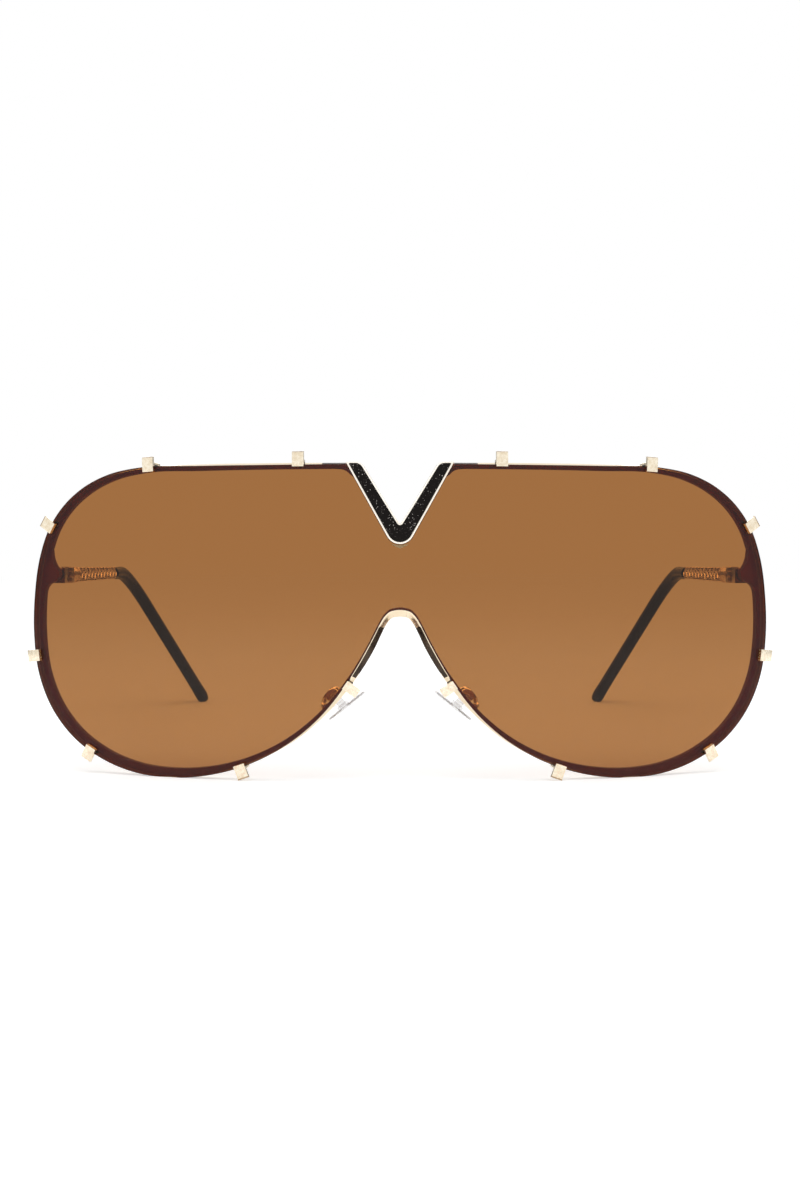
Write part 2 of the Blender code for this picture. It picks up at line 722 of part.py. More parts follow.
def make_tip(side, frame):
    name = side_name(side)
    route = tip_route()
    run = np.concatenate([[0.0], np.cumsum(np.linalg.norm(np.diff(route, axis=0), axis=1))])
    half = (TIP_MOUTH_WIDTH + (TIP_END_WIDTH - TIP_MOUTH_WIDTH) * run / run[-1]) / 2
    normal = outward_normals(route)
    left = route + normal * half[:, None]
    right = route - normal * half[:, None]
    heading = radians(TIP_BEND)
    cap = arc(route[-1], half[-1], heading + pi / 2, heading - pi / 2, 10)
    outline = [tuple(p) for p in left[:-1]] + cap + [tuple(p) for p in right[-2::-1]]
    plate = extruded(outline, -TIP_MOUTH_THICKNESS / 2, TIP_MOUTH_THICKNESS / 2)
    for corner in plate.verts:
        share = run[int(np.argmin(np.linalg.norm(route - corner.co.xy, axis=1)))] / run[-1]
        corner.co.z *= 1 + (TIP_END_THICKNESS / TIP_MOUTH_THICKNESS - 1) * share
    tip = add_solid(f"temple_tip_{name}", turned(plate, in_tip_plane()), "brown_plastic", frame, side)
    round_edges(tip, TIP_ROUND, 3)
    bore = core_wire(CORE_RADIUS + CORE_FIT, CORE_IN_TIP + CORE_END_FIT)
    combine(tip, "DIFFERENCE", f"tip_bore_{name}", bore, frame, side)
    below = box((-WRAP_RADIUS, 0, -WRAP_RADIUS), (WRAP_RADIUS, 2 * WRAP_RADIUS, table_height))
    combine(tip, "DIFFERENCE", f"table_{name}", below, front)


def pad_turn(side):
    """Rotation of a pad's frame: Y along its screw, X away from the nose, Z up along the pad."""
    spread = Matrix.Rotation(-side * radians(PAD_SPREAD), 3, "Y")
    return spread @ Matrix.Rotation(radians(PAD_SPLAY), 3, "X")


def make_nose_pad(side, frame):
    name = side_name(side)
    turns = [2 * pi * k / PAD_POINTS for k in range(PAD_POINTS)]
    outline = [(PAD_WIDTH / 2 * sin(turn), PAD_LENGTH / 2 * cos(turn)) for turn in turns]
    plate = extruded(outline, -PAD_THICKNESS / 2, PAD_THICKNESS / 2)
    across = Matrix(((0, 0, 1, -PAD_STANDOFF), (1, 0, 0, 0), (0, 1, 0, 0), (0, 0, 0, 1)))
    pad = add_solid(f"nose_pad_{name}", turned(plate, across), "clear_silicone", frame, side)
    round_edges(pad, PAD_ROUND, 3)
    half = STEM_WIDTH / 2
    tab = [(-PAD_STANDOFF, half), (-PAD_STANDOFF, -half)] + arc((0, 0), half, -pi / 2, pi / 2, 10)
    stem = turned(extruded(tab, -STEM_THICKNESS / 2, STEM_THICKNESS / 2), FLAT_TO_XZ)
    combine(pad, "UNION", f"pad_stem_{name}", stem, frame, side)
    bore = turned(cylinder(PAD_SCREW_RADIUS + PAD_SCREW_FIT, -BOX_WIDTH, BOX_WIDTH, 16), ALONG_Y)
    combine(pad, "DIFFERENCE", f"pad_bore_{name}", bore, frame, side)


def make_pad_arm(side, frame):
    """The pad's box, the wire that carries it and the foot soldered to the rim, one piece."""
    name = side_name(side)
    half_width = BOX_WIDTH / 2
    half_length = BOX_LENGTH / 2
    floor = STEM_WIDTH / 2 + BOX_FIT
    cup = box((-BOX_FRONT, -half_width, -half_length), (floor + BOX_FLOOR, half_width, half_length))
    arm = add_solid(f"pad_arm_{name}", cup, "gold_metal", frame, side)
    to_pad = (Matrix.Translation(PAD_AXIS) @ pad_turn(1).to_4x4()).inverted()
    foot_low = RIM_BACK + LUG_SEAT_FIT
    foot = to_pad @ formed(*ARM_FOOT, foot_low)
    above_foot = to_pad @ formed(*ARM_FOOT, foot_low + ARM_FOOT_HEIGHT)
    loop = [to_pad @ Vector((across, depth, up)) for across, up, depth in ARM_LOOP]
    reaches = (half_width + ARM_RADIUS, half_width - ARM_SOCKET_DEPTH)
    socket = [Vector((ARM_SOCKET[0], reach, ARM_SOCKET[1])) for reach in reaches]
    knots = [above_foot.lerp(foot, 0.5), *loop, *socket]
    wire = tube([tuple(p) for p in smooth([tuple(k) for k in knots], 5)], ARM_RADIUS)
    combine(arm, "UNION", f"arm_wire_{name}", wire, frame, side)
    turn = (above_foot - foot).to_track_quat("Z", "Y").to_matrix().to_4x4()
    disc = turned(cylinder(ARM_FOOT_RADIUS, 0, ARM_FOOT_HEIGHT, 16), Matrix.Translation(foot) @ turn)
    combine(arm, "UNION", f"arm_foot_{name}", disc, frame, side)
    half_slot = STEM_THICKNESS / 2 + BOX_FIT
    slot = box((-BOX_FRONT - PAST, -half_slot, -half_length - PAST), (floor, half_slot, half_length + PAST))
    combine(arm, "DIFFERENCE", f"box_slot_{name}", slot, frame, side)
    bore = turned(cylinder(PAD_SCREW_RADIUS + PAD_SCREW_FIT, -BOX_WIDTH, BOX_WIDTH, 16), ALONG_Y)
    combine(arm, "DIFFERENCE", f"box_bore_{name}", bore, frame, side)


def bounds():
    """The lowest and highest corner of everything built so far, in metres."""
    bpy.context.view_layer.update()
    graph = bpy.context.evaluated_depsgraph_get()
    points = []
    for piece in parts.objects:
        if piece.type == "MESH":
            evaluated = piece.evaluated_get(graph)
            points += [evaluated.matrix_world @ corner.co for corner in evaluated.data.vertices]
    points = np.array(points)
    return points.min(axis=0), points.max(axis=0)


clear_scene()
parts = make_collection("aviator_sunglasses")
cutters = make_collection("cutters")
cutters.hide_render = True
materials = {name: make_material(name, *values) for name, values in FINISHES.items()}

whole = bpy.data.objects.new("glasses", None)
parts.objects.link(whole)
front = make_frame("front", (0, 0, 0), Matrix.Identity(3), whole)

make_lens()
make_rim()
make_v_bridge()
make_claws()
table_height = float(bounds()[0][2]) / MM
for side in (1, -1):
    name = side_name(side)
    hinge = make_frame(f"hinge_{name}", (side * HINGE_X, HINGE_DEPTH, HINGE_HEIGHT), hinge_turn(side), whole)
    make_front_hinge(side, hinge)
    make_temple_hinge(side, hinge)
    make_screw(
        f"hinge_screw_{name}",
        SCREW_RADIUS,
        -BARREL_HEIGHT / 2,
        BARREL_HEIGHT / 2 - SCREW_SINK + SCREW_FIT,
        SCREW_HEAD_RADIUS,
        SCREW_HEAD_HEIGHT,
        Matrix.Identity(4),
        hinge,
        side,
    )
    make_temple(side, hinge)
    make_tip(side, hinge)
    pad = make_frame(f"pad_axis_{name}", (side * PAD_AXIS[0], *PAD_AXIS[1:]), pad_turn(side), whole)
    make_pad_arm(side, pad)
    make_nose_pad(side, pad)
    make_screw(
        f"pad_screw_{name}",
        PAD_SCREW_RADIUS,
        -BOX_WIDTH / 2,
        BOX_WIDTH / 2 + PAD_SCREW_FIT,
        PAD_SCREW_HEAD_RADIUS,
        PAD_SCREW_HEAD_HEIGHT,
        ALONG_Y,
        pad,
        side,
    )

lowest, highest = bounds()
whole.location = (0, -(lowest[1] + highest[1]) / 2, -table_height * MM)
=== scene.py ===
"""The looks of shield sunglasses with an aviator outline: lens, rim, bridge, claws, temples and pads."""
from math import atan2, cos, hypot, pi, radians, sin, sqrt, tan

import bmesh
import bpy
import numpy as np
from mathutils import Matrix, Vector


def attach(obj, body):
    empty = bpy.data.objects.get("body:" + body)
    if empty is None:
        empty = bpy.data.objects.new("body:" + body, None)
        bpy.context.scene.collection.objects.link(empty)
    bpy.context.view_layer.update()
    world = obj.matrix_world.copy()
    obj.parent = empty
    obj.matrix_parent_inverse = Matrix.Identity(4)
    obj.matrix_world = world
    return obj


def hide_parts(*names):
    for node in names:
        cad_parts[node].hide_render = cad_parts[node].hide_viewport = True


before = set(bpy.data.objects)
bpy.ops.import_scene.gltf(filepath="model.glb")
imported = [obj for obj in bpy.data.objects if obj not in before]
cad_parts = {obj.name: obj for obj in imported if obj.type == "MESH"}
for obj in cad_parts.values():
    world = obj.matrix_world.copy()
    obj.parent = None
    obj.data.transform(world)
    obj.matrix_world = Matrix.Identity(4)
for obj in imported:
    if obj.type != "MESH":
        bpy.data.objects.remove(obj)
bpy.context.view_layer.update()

scene = bpy.context.scene


# Photographer's table, lamps and camera. The glasses stand on a white sweep in soft light from all round, and
# the camera stands well back, a little above them, looking slightly down.

CAMERA_PLACE = (0.0, -0.673144, 0.085303)
CAMERA_DROP = 244 / 3024
CAMERA_LENS = 90.72
DIM_SIDE = 0.45
SOFT_LEVEL = 0.38
FAR_SOFT_LEVEL = 0.6
PAPER_GLOW = 0.47
SWEEP_FADE = (0.18, 0.5)
TABLE_MIDDLE = (0.0, 0.0, 0.03)

camera = bpy.data.objects.new("camera", bpy.data.cameras.new("camera"))
camera.data.sensor_fit = "VERTICAL"
camera.data.sensor_height = 36.0
camera.data.lens = CAMERA_LENS
camera.data.clip_start = 0.01
camera.location = CAMERA_PLACE
camera.rotation_euler = (pi / 2 - atan2(CAMERA_DROP, 1.0), 0.0, 0.0)
scene.collection.objects.link(camera)
scene.camera = camera
scene.view_settings.view_transform = "Standard"


def seen_level(tree, way, plain):
    """How bright the studio is along a way: white to the camera and through the lens, white in front and
    above in reflections but dim beside and behind, and plain for soft light."""
    rays = tree.nodes.new("ShaderNodeLightPath")
    split = tree.nodes.new("ShaderNodeSeparateXYZ")
    tree.links.new(way, split.inputs[0])
    shares = []
    for axis, low, high in (("Y", 0.0, -0.28), ("Z", 0.22, 0.50)):
        share = tree.nodes.new("ShaderNodeMapRange")
        share.inputs["From Min"].default_value = low
        share.inputs["From Max"].default_value = high
        share.inputs["To Min"].default_value = DIM_SIDE
        tree.links.new(split.outputs[axis], share.inputs["Value"])
        shares.append(share.outputs["Result"])
    mirrored = tree.nodes.new("ShaderNodeMath")
    mirrored.operation = "MAXIMUM"
    straight = tree.nodes.new("ShaderNodeMath")
    straight.operation = "MAXIMUM"
    tree.links.new(shares[0], mirrored.inputs[0])
    tree.links.new(shares[1], mirrored.inputs[1])
    tree.links.new(rays.outputs["Is Camera Ray"], straight.inputs[0])
    tree.links.new(rays.outputs["Is Transmission Ray"], straight.inputs[1])
    in_mirror = tree.nodes.new("ShaderNodeMix")
    in_mirror.inputs["A"].default_value = plain
    to_eye = tree.nodes.new("ShaderNodeMix")
    to_eye.inputs["B"].default_value = 1.0
    tree.links.new(rays.outputs["Is Glossy Ray"], in_mirror.inputs["Factor"])
    tree.links.new(mirrored.outputs[0], in_mirror.inputs["B"])
    tree.links.new(straight.outputs[0], to_eye.inputs["Factor"])
    tree.links.new(in_mirror.outputs["Result"], to_eye.inputs["A"])
    return to_eye.outputs["Result"]


world = bpy.data.worlds.new("studio")
scene.world = world
world.use_nodes = True
tree = world.node_tree
sky_way = tree.nodes.new("ShaderNodeTexCoord")
tree.nodes["Background"].inputs["Color"].default_value = (1.0, 1.0, 1.0, 1.0)
sky = seen_level(tree, sky_way.outputs["Generated"], SOFT_LEVEL)
tree.links.new(sky, tree.nodes["Background"].inputs["Strength"])

table = bmesh.new()
bmesh.ops.create_grid(table, x_segments=8, y_segments=8, size=6.0)
mesh = bpy.data.meshes.new("table")
table.to_mesh(mesh)
table.free()
floor = bpy.data.objects.new("table", mesh)
scene.collection.objects.link(floor)

paper = bpy.data.materials.new("white_paper")
paper.use_nodes = True
tree = paper.node_tree
shader = tree.nodes["Principled BSDF"]
shader.inputs["Base Color"].default_value = (0.82, 0.82, 0.82, 1.0)
shader.inputs["Roughness"].default_value = 0.9
shader.inputs["Specular IOR Level"].default_value = 0.1
rays = tree.nodes.new("ShaderNodeLightPath")
either = tree.nodes.new("ShaderNodeMath")
either.operation = "MAXIMUM"
every = tree.nodes.new("ShaderNodeMath")
every.operation = "MAXIMUM"
glow = tree.nodes.new("ShaderNodeMath")
glow.operation = "MULTIPLY"
glow.inputs[1].default_value = PAPER_GLOW
tree.links.new(rays.outputs["Is Camera Ray"], either.inputs[0])
tree.links.new(rays.outputs["Is Glossy Ray"], either.inputs[1])
tree.links.new(either.outputs[0], every.inputs[0])
tree.links.new(rays.outputs["Is Transmission Ray"], every.inputs[1])
tree.links.new(every.outputs[0], glow.inputs[0])
shader.inputs["Emission Color"].default_value = (1.0, 1.0, 1.0, 1.0)
tree.links.new(glow.outputs[0], shader.inputs["Emission Strength"])
# The sweep fades to plain white a hand's breadth past the glasses
place = tree.nodes.new("ShaderNodeTexCoord")
reach = tree.nodes.new("ShaderNodeVectorMath")
reach.operation = "LENGTH"
heading = tree.nodes.new("ShaderNodeVectorMath")
heading.operation = "NORMALIZE"
fade = tree.nodes.new("ShaderNodeMapRange")
fade.inputs["From Min"].default_value = SWEEP_FADE[0]
fade.inputs["From Max"].default_value = SWEEP_FADE[1]
far = tree.nodes.new("ShaderNodeEmission")
mixed = tree.nodes.new("ShaderNodeMixShader")
tree.links.new(place.outputs["Object"], reach.inputs[0])
tree.links.new(place.outputs["Object"], heading.inputs[0])
tree.links.new(reach.outputs["Value"], fade.inputs["Value"])
tree.links.new(seen_level(tree, heading.outputs["Vector"], FAR_SOFT_LEVEL), far.inputs["Strength"])
tree.links.new(fade.outputs["Result"], mixed.inputs["Fac"])
tree.links.new(shader.outputs["BSDF"], mixed.inputs[1])
tree.links.new(far.outputs["Emission"], mixed.inputs[2])
tree.links.new(mixed.outputs["Shader"], tree.nodes["Material Output"].inputs["Surface"])
mesh.materials.append(paper)


def add_lamp(name, place, width, height, power, mirrored=True, soft=True):
    """A soft box that faces the glasses, seen in mirrors or not, and with soft light or highlights only."""
    lamp = bpy.data.lights.new(name, "AREA")
    lamp.shape = "RECTANGLE"
    lamp.size = width
    lamp.size_y = height
    lamp.energy = power
    holder = bpy.data.objects.new(name, lamp)
    holder.location = place
    holder.rotation_euler = (Vector(TABLE_MIDDLE) - Vector(place)).to_track_quat("-Z", "Y").to_euler()
    holder.visible_glossy = mirrored
    holder.visible_diffuse = soft
    holder.visible_camera = False
    scene.collection.objects.link(holder)


add_lamp("top_box", (0.0, -0.15, 0.95), 1.1, 0.8, 5.0, False)
add_lamp("left_box", (0.8, -0.55, 0.45), 0.5, 0.7, 0.7, False)
add_lamp("right_box", (-0.8, -0.55, 0.45), 0.5, 0.7, 0.7, False)
add_lamp("back_strip", (0.0, 0.62, 0.25), 0.9, 0.22, 2.2, True, False)


# Shield lens: one wrapped sheet of brown gradient nylon with a hard coat, cut to the aviator outline with a V
# notch above and the nose arch below. Its edge is polished with a small chamfer on both faces.

MM = 0.001
WRAP_RADIUS = 140.0
RISE_RADIUS = 400.0
RISE_CENTRE = 33.2
FRONT_Y = -73.144
FRONT_Z = -0.297
LENS_THICKNESS = 1.8
EDGE_SHADE_LINE = 0.22
EDGE_FLARE = 0.10
EDGE_LIT_BAND = (0.55, 0.90)
FIT = 0.15

# Across, up, how far the rim shows outside the lens, and inside it
LENS_HALF = (
    (11.3, 64.15, 0.45, 0.80),
    (26.0, 63.90, 0.55, 0.75),
    (42.0, 63.55, 0.50, 0.85),
    (54.2, 63.10, 0.20, 0.95),
    (61.6, 61.55, 0.05, 1.05),
    (67.3, 58.95, 0.00, 1.05),
    (72.3, 55.00, 0.00, 0.95),
    (75.9, 50.20, 0.00, 0.90),
    (78.2, 44.20, 0.00, 0.95),
    (79.5, 36.40, 0.00, 1.05),
    (79.8, 28.20, 0.00, 1.10),
    (78.8, 20.40, 0.00, 1.15),
    (75.9, 13.60, 0.00, 1.25),
    (70.8, 7.70, 0.00, 1.35),
    (64.4, 3.65, 0.00, 1.45),
    (56.4, 1.00, 0.00, 1.50),
    (48.0, 0.26, 0.00, 1.50),
    (40.0, 1.04, 0.00, 1.35),
    (30.7, 3.75, 0.18, 1.10),
    (22.3, 8.35, 0.46, 0.85),
    (15.7, 14.10, 0.66, 0.65),
    (10.6, 20.70, 1.08, 0.35),
    (6.4, 27.85, 1.38, 0.20),
    (4.96, 30.65, 1.28, 0.20),
    (4.11, 32.35, 1.28, 0.20),
    (3.11, 33.95, 1.42, 0.20),
    (2.12, 34.85, 1.60, 0.20),
    (1.0, 35.20, 1.68, 0.20),
)
ARCH_TOP = (0.0, 35.3, 1.68, 0.20)
LENS_TOP = 64.15
V_HALF_WIDTH = 10.85
V_TOP = 64.6
V_POINT = 45.3
V_ROUND = 2.9


def smooth(knots, steps):
    """Points of a smooth curve through the knots, with their other columns carried along."""
    knots = np.array(knots, float)
    places = knots[:, : 3 if knots.shape[1] == 3 else 2]
    run = np.concatenate([[0.0], np.cumsum(np.linalg.norm(np.diff(places, axis=0), axis=1))])
    slope = np.gradient(knots, run, axis=0)
    path = []
    for i, length in enumerate(np.diff(run)):
        for t in np.arange(steps) / steps:
            start = (1 + 2 * t) * (1 - t) ** 2 * knots[i] + t * (1 - t) ** 2 * length * slope[i]
            end = t * t * (3 - 2 * t) * knots[i + 1] - t * t * (1 - t) * length * slope[i + 1]
            path.append(start + end)
    path.append(knots[-1])
    return np.array(path)


def fillet(before, corner, after, radius, steps=8):
    """Points of the arc that rounds a corner between its two neighbours."""
    corner = Vector(corner)
    back = (Vector(before) - corner).normalized()
    onward = (Vector(after) - corner).normalized()
    half = back.angle(onward) / 2
    centre = corner + (back + onward).normalized() * radius / sin(half)
    spoke = corner + back * radius / tan(half) - centre
    sweep = (pi - 2 * half) * (1 if back.cross(onward) < 0 else -1)
    return [tuple(centre + Matrix.Rotation(sweep * k / steps, 2) @ spoke) for k in range(steps + 1)]


def v_line(up, gap):
    """How far out the V's outer side lies at a height, moved out by a gap."""
    slant = V_HALF_WIDTH / (V_TOP - V_POINT)
    return (up - V_POINT) * slant + gap * sqrt(1 + slant * slant)


def drawn_in(outline, inset):
    """A closed flat outline moved inwards, with mitred corners. The inset is one number, or one a point."""
    points = np.array(outline, float)
    inset = np.resize(inset, (len(points), 1))
    before = points - np.roll(points, 1, axis=0)
    after = np.roll(points, -1, axis=0) - points
    before /= np.linalg.norm(before, axis=1, keepdims=True)
    after /= np.linalg.norm(after, axis=1, keepdims=True)
    left_before = np.column_stack([-before[:, 1], before[:, 0]])
    left_after = np.column_stack([-after[:, 1], after[:, 0]])
    turn = np.sum(left_before * left_after, axis=1, keepdims=True)
    mitre = (left_before + left_after) / np.maximum(1 + turn, 0.5)
    area = np.sum(points[:, 0] * np.roll(points[:, 1], -1) - np.roll(points[:, 0], -1) * points[:, 1])
    return points + mitre * inset * (1 if area > 0 else -1)


def lofted(sections):
    """A closed solid through flat sections of one count of points, each with its depth."""
    solid = bmesh.new()
    points, depth = sections[0]
    ring = [solid.verts.new((x, y, depth)) for x, y in points]
    loop = [solid.edges.new((a, b)) for a, b in zip(ring, ring[1:] + ring[:1])]
    bmesh.ops.edgeloop_fill(solid, edges=loop)
    for points, depth in sections[1:]:
        grown = bmesh.ops.extrude_edge_only(solid, edges=loop)["geom"]
        twin = {tuple(part.co): part for part in grown if isinstance(part, bmesh.types.BMVert)}
        ring = [twin[tuple(corner.co)] for corner in ring]
        lines = [part for part in grown if isinstance(part, bmesh.types.BMEdge)]
        loop = [line for line in lines if line.verts[0] in ring and line.verts[1] in ring]
        for corner, (x, y) in zip(ring, points):
            corner.co = (x, y, depth)
    bmesh.ops.edgeloop_fill(solid, edges=loop)
    return solid


def stacked(outline, profile):
    """A closed solid from a flat outline, with one section for each (inset, depth) of the profile."""
    return lofted([(drawn_in(outline, inset), depth) for inset, depth in profile])


def sliced(solid, place, way, merge=0.001):
    """Cuts a solid along a plane, and keeps both sides."""
    everything = solid.verts[:] + solid.edges[:] + solid.faces[:]
    bmesh.ops.bisect_plane(solid, geom=everything, dist=merge, plane_co=place, plane_no=way)


def cut_up(solid, column, row):
    """Cuts a blank into columns and rows, so that it can bend."""
    places = np.array([corner.co[:2] for corner in solid.verts])
    low, high = places.min(axis=0), places.max(axis=0)
    for axis, pitch in ((0, column), (1, row)):
        for k in range(int(low[axis] / pitch), int(high[axis] / pitch) + 1):
            way = Vector((1, 0, 0) if axis == 0 else (0, 1, 0))
            sliced(solid, way * k * pitch, way, 0.03)
    return solid


def bent(across, up, depth):
    """A point of the flat layout in millimetres, bent to the lens's base curve and set in the frame."""
    turn = across / WRAP_RADIUS
    lift = (up - RISE_CENTRE) / RISE_RADIUS
    reach = WRAP_RADIUS - RISE_RADIUS + (RISE_RADIUS - depth) * cos(lift)
    height = RISE_CENTRE + (RISE_RADIUS - depth) * sin(lift)
    return Vector((reach * sin(turn), WRAP_RADIUS - reach * cos(turn) + FRONT_Y, height + FRONT_Z)) * MM


def bend(solid):
    for corner in solid.verts:
        corner.co = bent(*corner.co)
    return solid


def rested(solid):
    """Keeps a solid from sinking into the table."""
    for corner in solid.verts:
        corner.co.z = max(corner.co.z, 0.0)
    return solid


def finished(name, solid, materials, body, nodes=(), sharp=50):
    """Makes the piece of a solid, and ties it to its body, its finish and the CAD nodes it stands for."""
    bmesh.ops.recalc_face_normals(solid, faces=solid.faces)
    mesh = bpy.data.meshes.new(name)
    solid.to_mesh(mesh)
    solid.free()
    mesh.shade_smooth()
    mesh.set_sharp_from_angle(angle=radians(sharp))
    for material in materials:
        mesh.materials.append(material)
    piece = bpy.data.objects.new(name, mesh)
    scene.collection.objects.link(piece)
    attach(piece, body)
    if nodes:
        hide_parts(*nodes)
    return piece


def new_material(name):
    """A material with its tree, its Principled shader and a function that adds a linked node."""
    material = bpy.data.materials.new(name)
    material.use_nodes = True
    tree = material.node_tree

    def add(kind, settings=(), **inputs):
        node = tree.nodes.new("ShaderNode" + kind)
        for key, value in dict(settings).items():
            setattr(node, key, value)
        for key, value in inputs.items():
            numbered = key[0] == "i" and key[1:].isdigit()
            socket = node.inputs[int(key[1:]) if numbered else key.replace("_", " ")]
            if isinstance(value, bpy.types.NodeSocket):
                tree.links.new(value, socket)
            else:
                socket.default_value = value
        return node

    return material, tree, tree.nodes["Principled BSDF"], add


def ramp(add, factor, stops):
    """A colour ramp with (place, colour) stops."""
    node = add("ValToRGB", Fac=factor)
    elements = node.color_ramp.elements
    while len(elements) < len(stops):
        elements.new(0.5)
    for element, (place, colour) in zip(elements, stops):
        element.position = place
        element.color = (*colour, 1.0)
    return node.outputs["Color"]


def mottled(name, dark, light, scale, detail=3.0):
    """A material whose colour wanders between two tones in fine grains, with the grains for more use."""
    material, tree, shader, add = new_material(name)
    where = add("TexCoord")
    grain = add("TexNoise", Vector=where.outputs["Object"], Scale=scale, Detail=detail)
    colour = ramp(add, grain.outputs["Fac"], ((0.3, dark), (0.7, light)))
    tree.links.new(colour, shader.inputs["Base Color"])
    return material, tree, shader, add, grain.outputs["Fac"]


edge_knots = [*LENS_HALF, ARCH_TOP, *[(-u, v, a, b) for u, v, a, b in reversed(LENS_HALF)]]
edge = smooth(edge_knots, 7)
v_top = v_line(LENS_TOP, FIT)
v_slant = V_HALF_WIDTH / (V_TOP - V_POINT)
v_foot = V_POINT - FIT * sqrt(1 + v_slant * v_slant) / v_slant
notch = [(-v_top, LENS_TOP)]
notch += fillet((-v_top, LENS_TOP), (0, v_foot), (v_top, LENS_TOP), V_ROUND + FIT, 16)
notch += [(v_top, LENS_TOP)]
outline = [tuple(p[:2]) for p in edge if abs(p[0]) > v_line(p[1], FIT) + 0.6] + notch
chamfer = ((0.06, 0.0), (0.02, 0.02), (0.0, 0.06))
outline = drawn_in(outline, -EDGE_FLARE)
lens_profile = [*chamfer, (0.0, EDGE_SHADE_LINE), *[(0.0, depth) for depth in EDGE_LIT_BAND]]
lens_profile += [(inset, LENS_THICKNESS - depth) for inset, depth in reversed(chamfer)]
solid = stacked(outline, lens_profile)
# Faces of the edge near the front take the painted shade line, and those in the band deeper in take painted
# light
for face in solid.faces:
    depths = [corner.co.z for corner in face.verts]
    middle = (max(depths) + min(depths)) / 2
    if max(depths) - min(depths) < 0.001:
        face.material_index = 0
    elif middle < EDGE_SHADE_LINE:
        face.material_index = 2
    else:
        face.material_index = 3 if EDGE_LIT_BAND[0] < middle < EDGE_LIT_BAND[1] else 1
solid = rested(bend(cut_up(solid, 2.0, 2.5)))

# Brown gradient tint with a clear hard coat: each face lets through the root of the tint and mirrors a little
tinted, tree, shader, add = new_material("brown_gradient_lens")
tree.nodes.remove(shader)
where = add("TexCoord")
height = add("SeparateXYZ", Vector=where.outputs["Object"])
cloud = add("TexNoise", Vector=where.outputs["Object"], Scale=22.0, Detail=2.0)
wander = add("Math", {"operation": "MULTIPLY_ADD"}, i0=cloud.outputs["Fac"], i1=0.004, i2=height.outputs["Z"])
share = add("MapRange", Value=wander.outputs[0], From_Min=0.0, From_Max=0.066)
tint = ramp(
    add,
    share.outputs["Result"],
    (
        (0.0, (0.596, 0.400, 0.230)),
        (0.22, (0.599, 0.397, 0.219)),
        (0.42, (0.588, 0.390, 0.214)),
        (0.57, (0.587, 0.381, 0.199)),
        (0.72, (0.588, 0.377, 0.189)),
        (1.0, (0.587, 0.375, 0.186)),
    ),
)
through = add("BsdfTransparent", Color=tint)
waves = add("TexNoise", Vector=where.outputs["Object"], Scale=35.0, Detail=1.0)
ripple = add("Bump", Strength=0.02, Distance=0.0004, Height=waves.outputs["Fac"])
smears = add("TexNoise", Vector=where.outputs["Object"], Scale=60.0, Detail=4.0)
polish = add("MapRange", Value=smears.outputs["Fac"], To_Min=0.015, To_Max=0.045)
coat = add("BsdfGlossy", Roughness=polish.outputs["Result"], Normal=ripple.outputs["Normal"])
coat.inputs["Color"].default_value = (1.0, 1.0, 1.0, 1.0)
slant = add("LayerWeight", Blend=0.5)
grazing = add("Math", {"operation": "POWER"}, i0=slant.outputs["Facing"], i1=5.0)
mirror = add("Math", {"operation": "MULTIPLY_ADD"}, i0=grazing.outputs[0], i1=0.98, i2=0.02)
both = add("MixShader", Fac=mirror.outputs[0], i1=through.outputs["BSDF"], i2=coat.outputs["BSDF"])
tree.links.new(both.outputs["Shader"], tree.nodes["Material Output"].inputs["Surface"])

# The polished edge is dark, because it is seen through the length of the sheet. The near-black line at its
# front is painted shade, and the paler band deeper in is painted light
edges = []
for name, deep, pale in (
    ("lens_edge", (0.20, 0.055, 0.036), (0.26, 0.075, 0.046)),
    ("lens_edge_painted_shade", (0.030, 0.012, 0.008), (0.060, 0.022, 0.014)),
    ("lens_edge_painted_light", (0.30, 0.11, 0.06), (0.38, 0.14, 0.08)),
):
    material, _, shader, *_ = mottled(name, deep, pale, 900.0, 2.0)
    shader.inputs["Roughness"].default_value = 0.25
    shader.inputs["Specular IOR Level"].default_value = 0.3
    edges.append(material)
finished("shield_lens_sheet", solid, [tinted, *edges], "front", ["shield_lens"])


# Rim: one pale gold wire, rolled to a flat half-round section. It follows the lens behind its edge, stands
# proud of it at the brow and the nose, and widens to a lug at each side for the hinge. It is cast, plated and
# polished, and matt maroon where it faces the lens and on its inner walls. Its flank beside the nose arch and
# its brow beside the V are dark gold, painted shade.

RIM_THICKNESS = 1.0
RIM_FRONT = LENS_THICKNESS + FIT
RIM_BACK = RIM_FRONT + RIM_THICKNESS
LUG = (
    (76.75, 45.9),
    (76.4, 44.0),
    (75.6, 42.5),
    (74.85, 41.7),
    (74.55, 41.0),
    (74.75, 40.2),
    (75.35, 39.55),
    (77.3, 38.65),
    (77.9, 38.05),
    (78.3, 37.2),
)
RIM_TOE = ((1.75, 0.90), (1.12, 1.12), (0.74, 1.45), (0.50, 1.95))
RIM_TOE_DROP = 2.5
RIM_EDGE = 0.08
BROW_SHADE = (11.0, 16.4)
NOSE_SHADE = (21.7, 31.6)


def gold(name, bright, dull, rough, grain, tone=240.0, dent=0.2):
    """Pale gold plating: clouds of tone, fine polishing grain and a few soft dents."""
    material, tree, shader, add, clouds = mottled(name, dull, bright, tone)
    where = add("TexCoord")
    lines = add("TexNoise", Vector=where.outputs["Object"], Scale=grain, Detail=4.0, Roughness=0.65)
    dents = add("TexNoise", Vector=where.outputs["Object"], Scale=520.0, Detail=1.0)
    shader.inputs["Metallic"].default_value = 1.0
    matt = add("MapRange", Value=lines.outputs["Fac"], From_Min=0.3, From_Max=0.7)
    matt.inputs["To Min"].default_value, matt.inputs["To Max"].default_value = rough
    tree.links.new(matt.outputs["Result"], shader.inputs["Roughness"])
    scratch = add("Bump", Strength=0.08, Distance=0.00003, Height=lines.outputs["Fac"])
    relief = add("Bump", Strength=dent, Distance=0.00006, Height=dents.outputs["Fac"])
    tree.links.new(scratch.outputs["Normal"], relief.inputs["Normal"])
    tree.links.new(relief.outputs["Normal"], shader.inputs["Normal"])
    return material


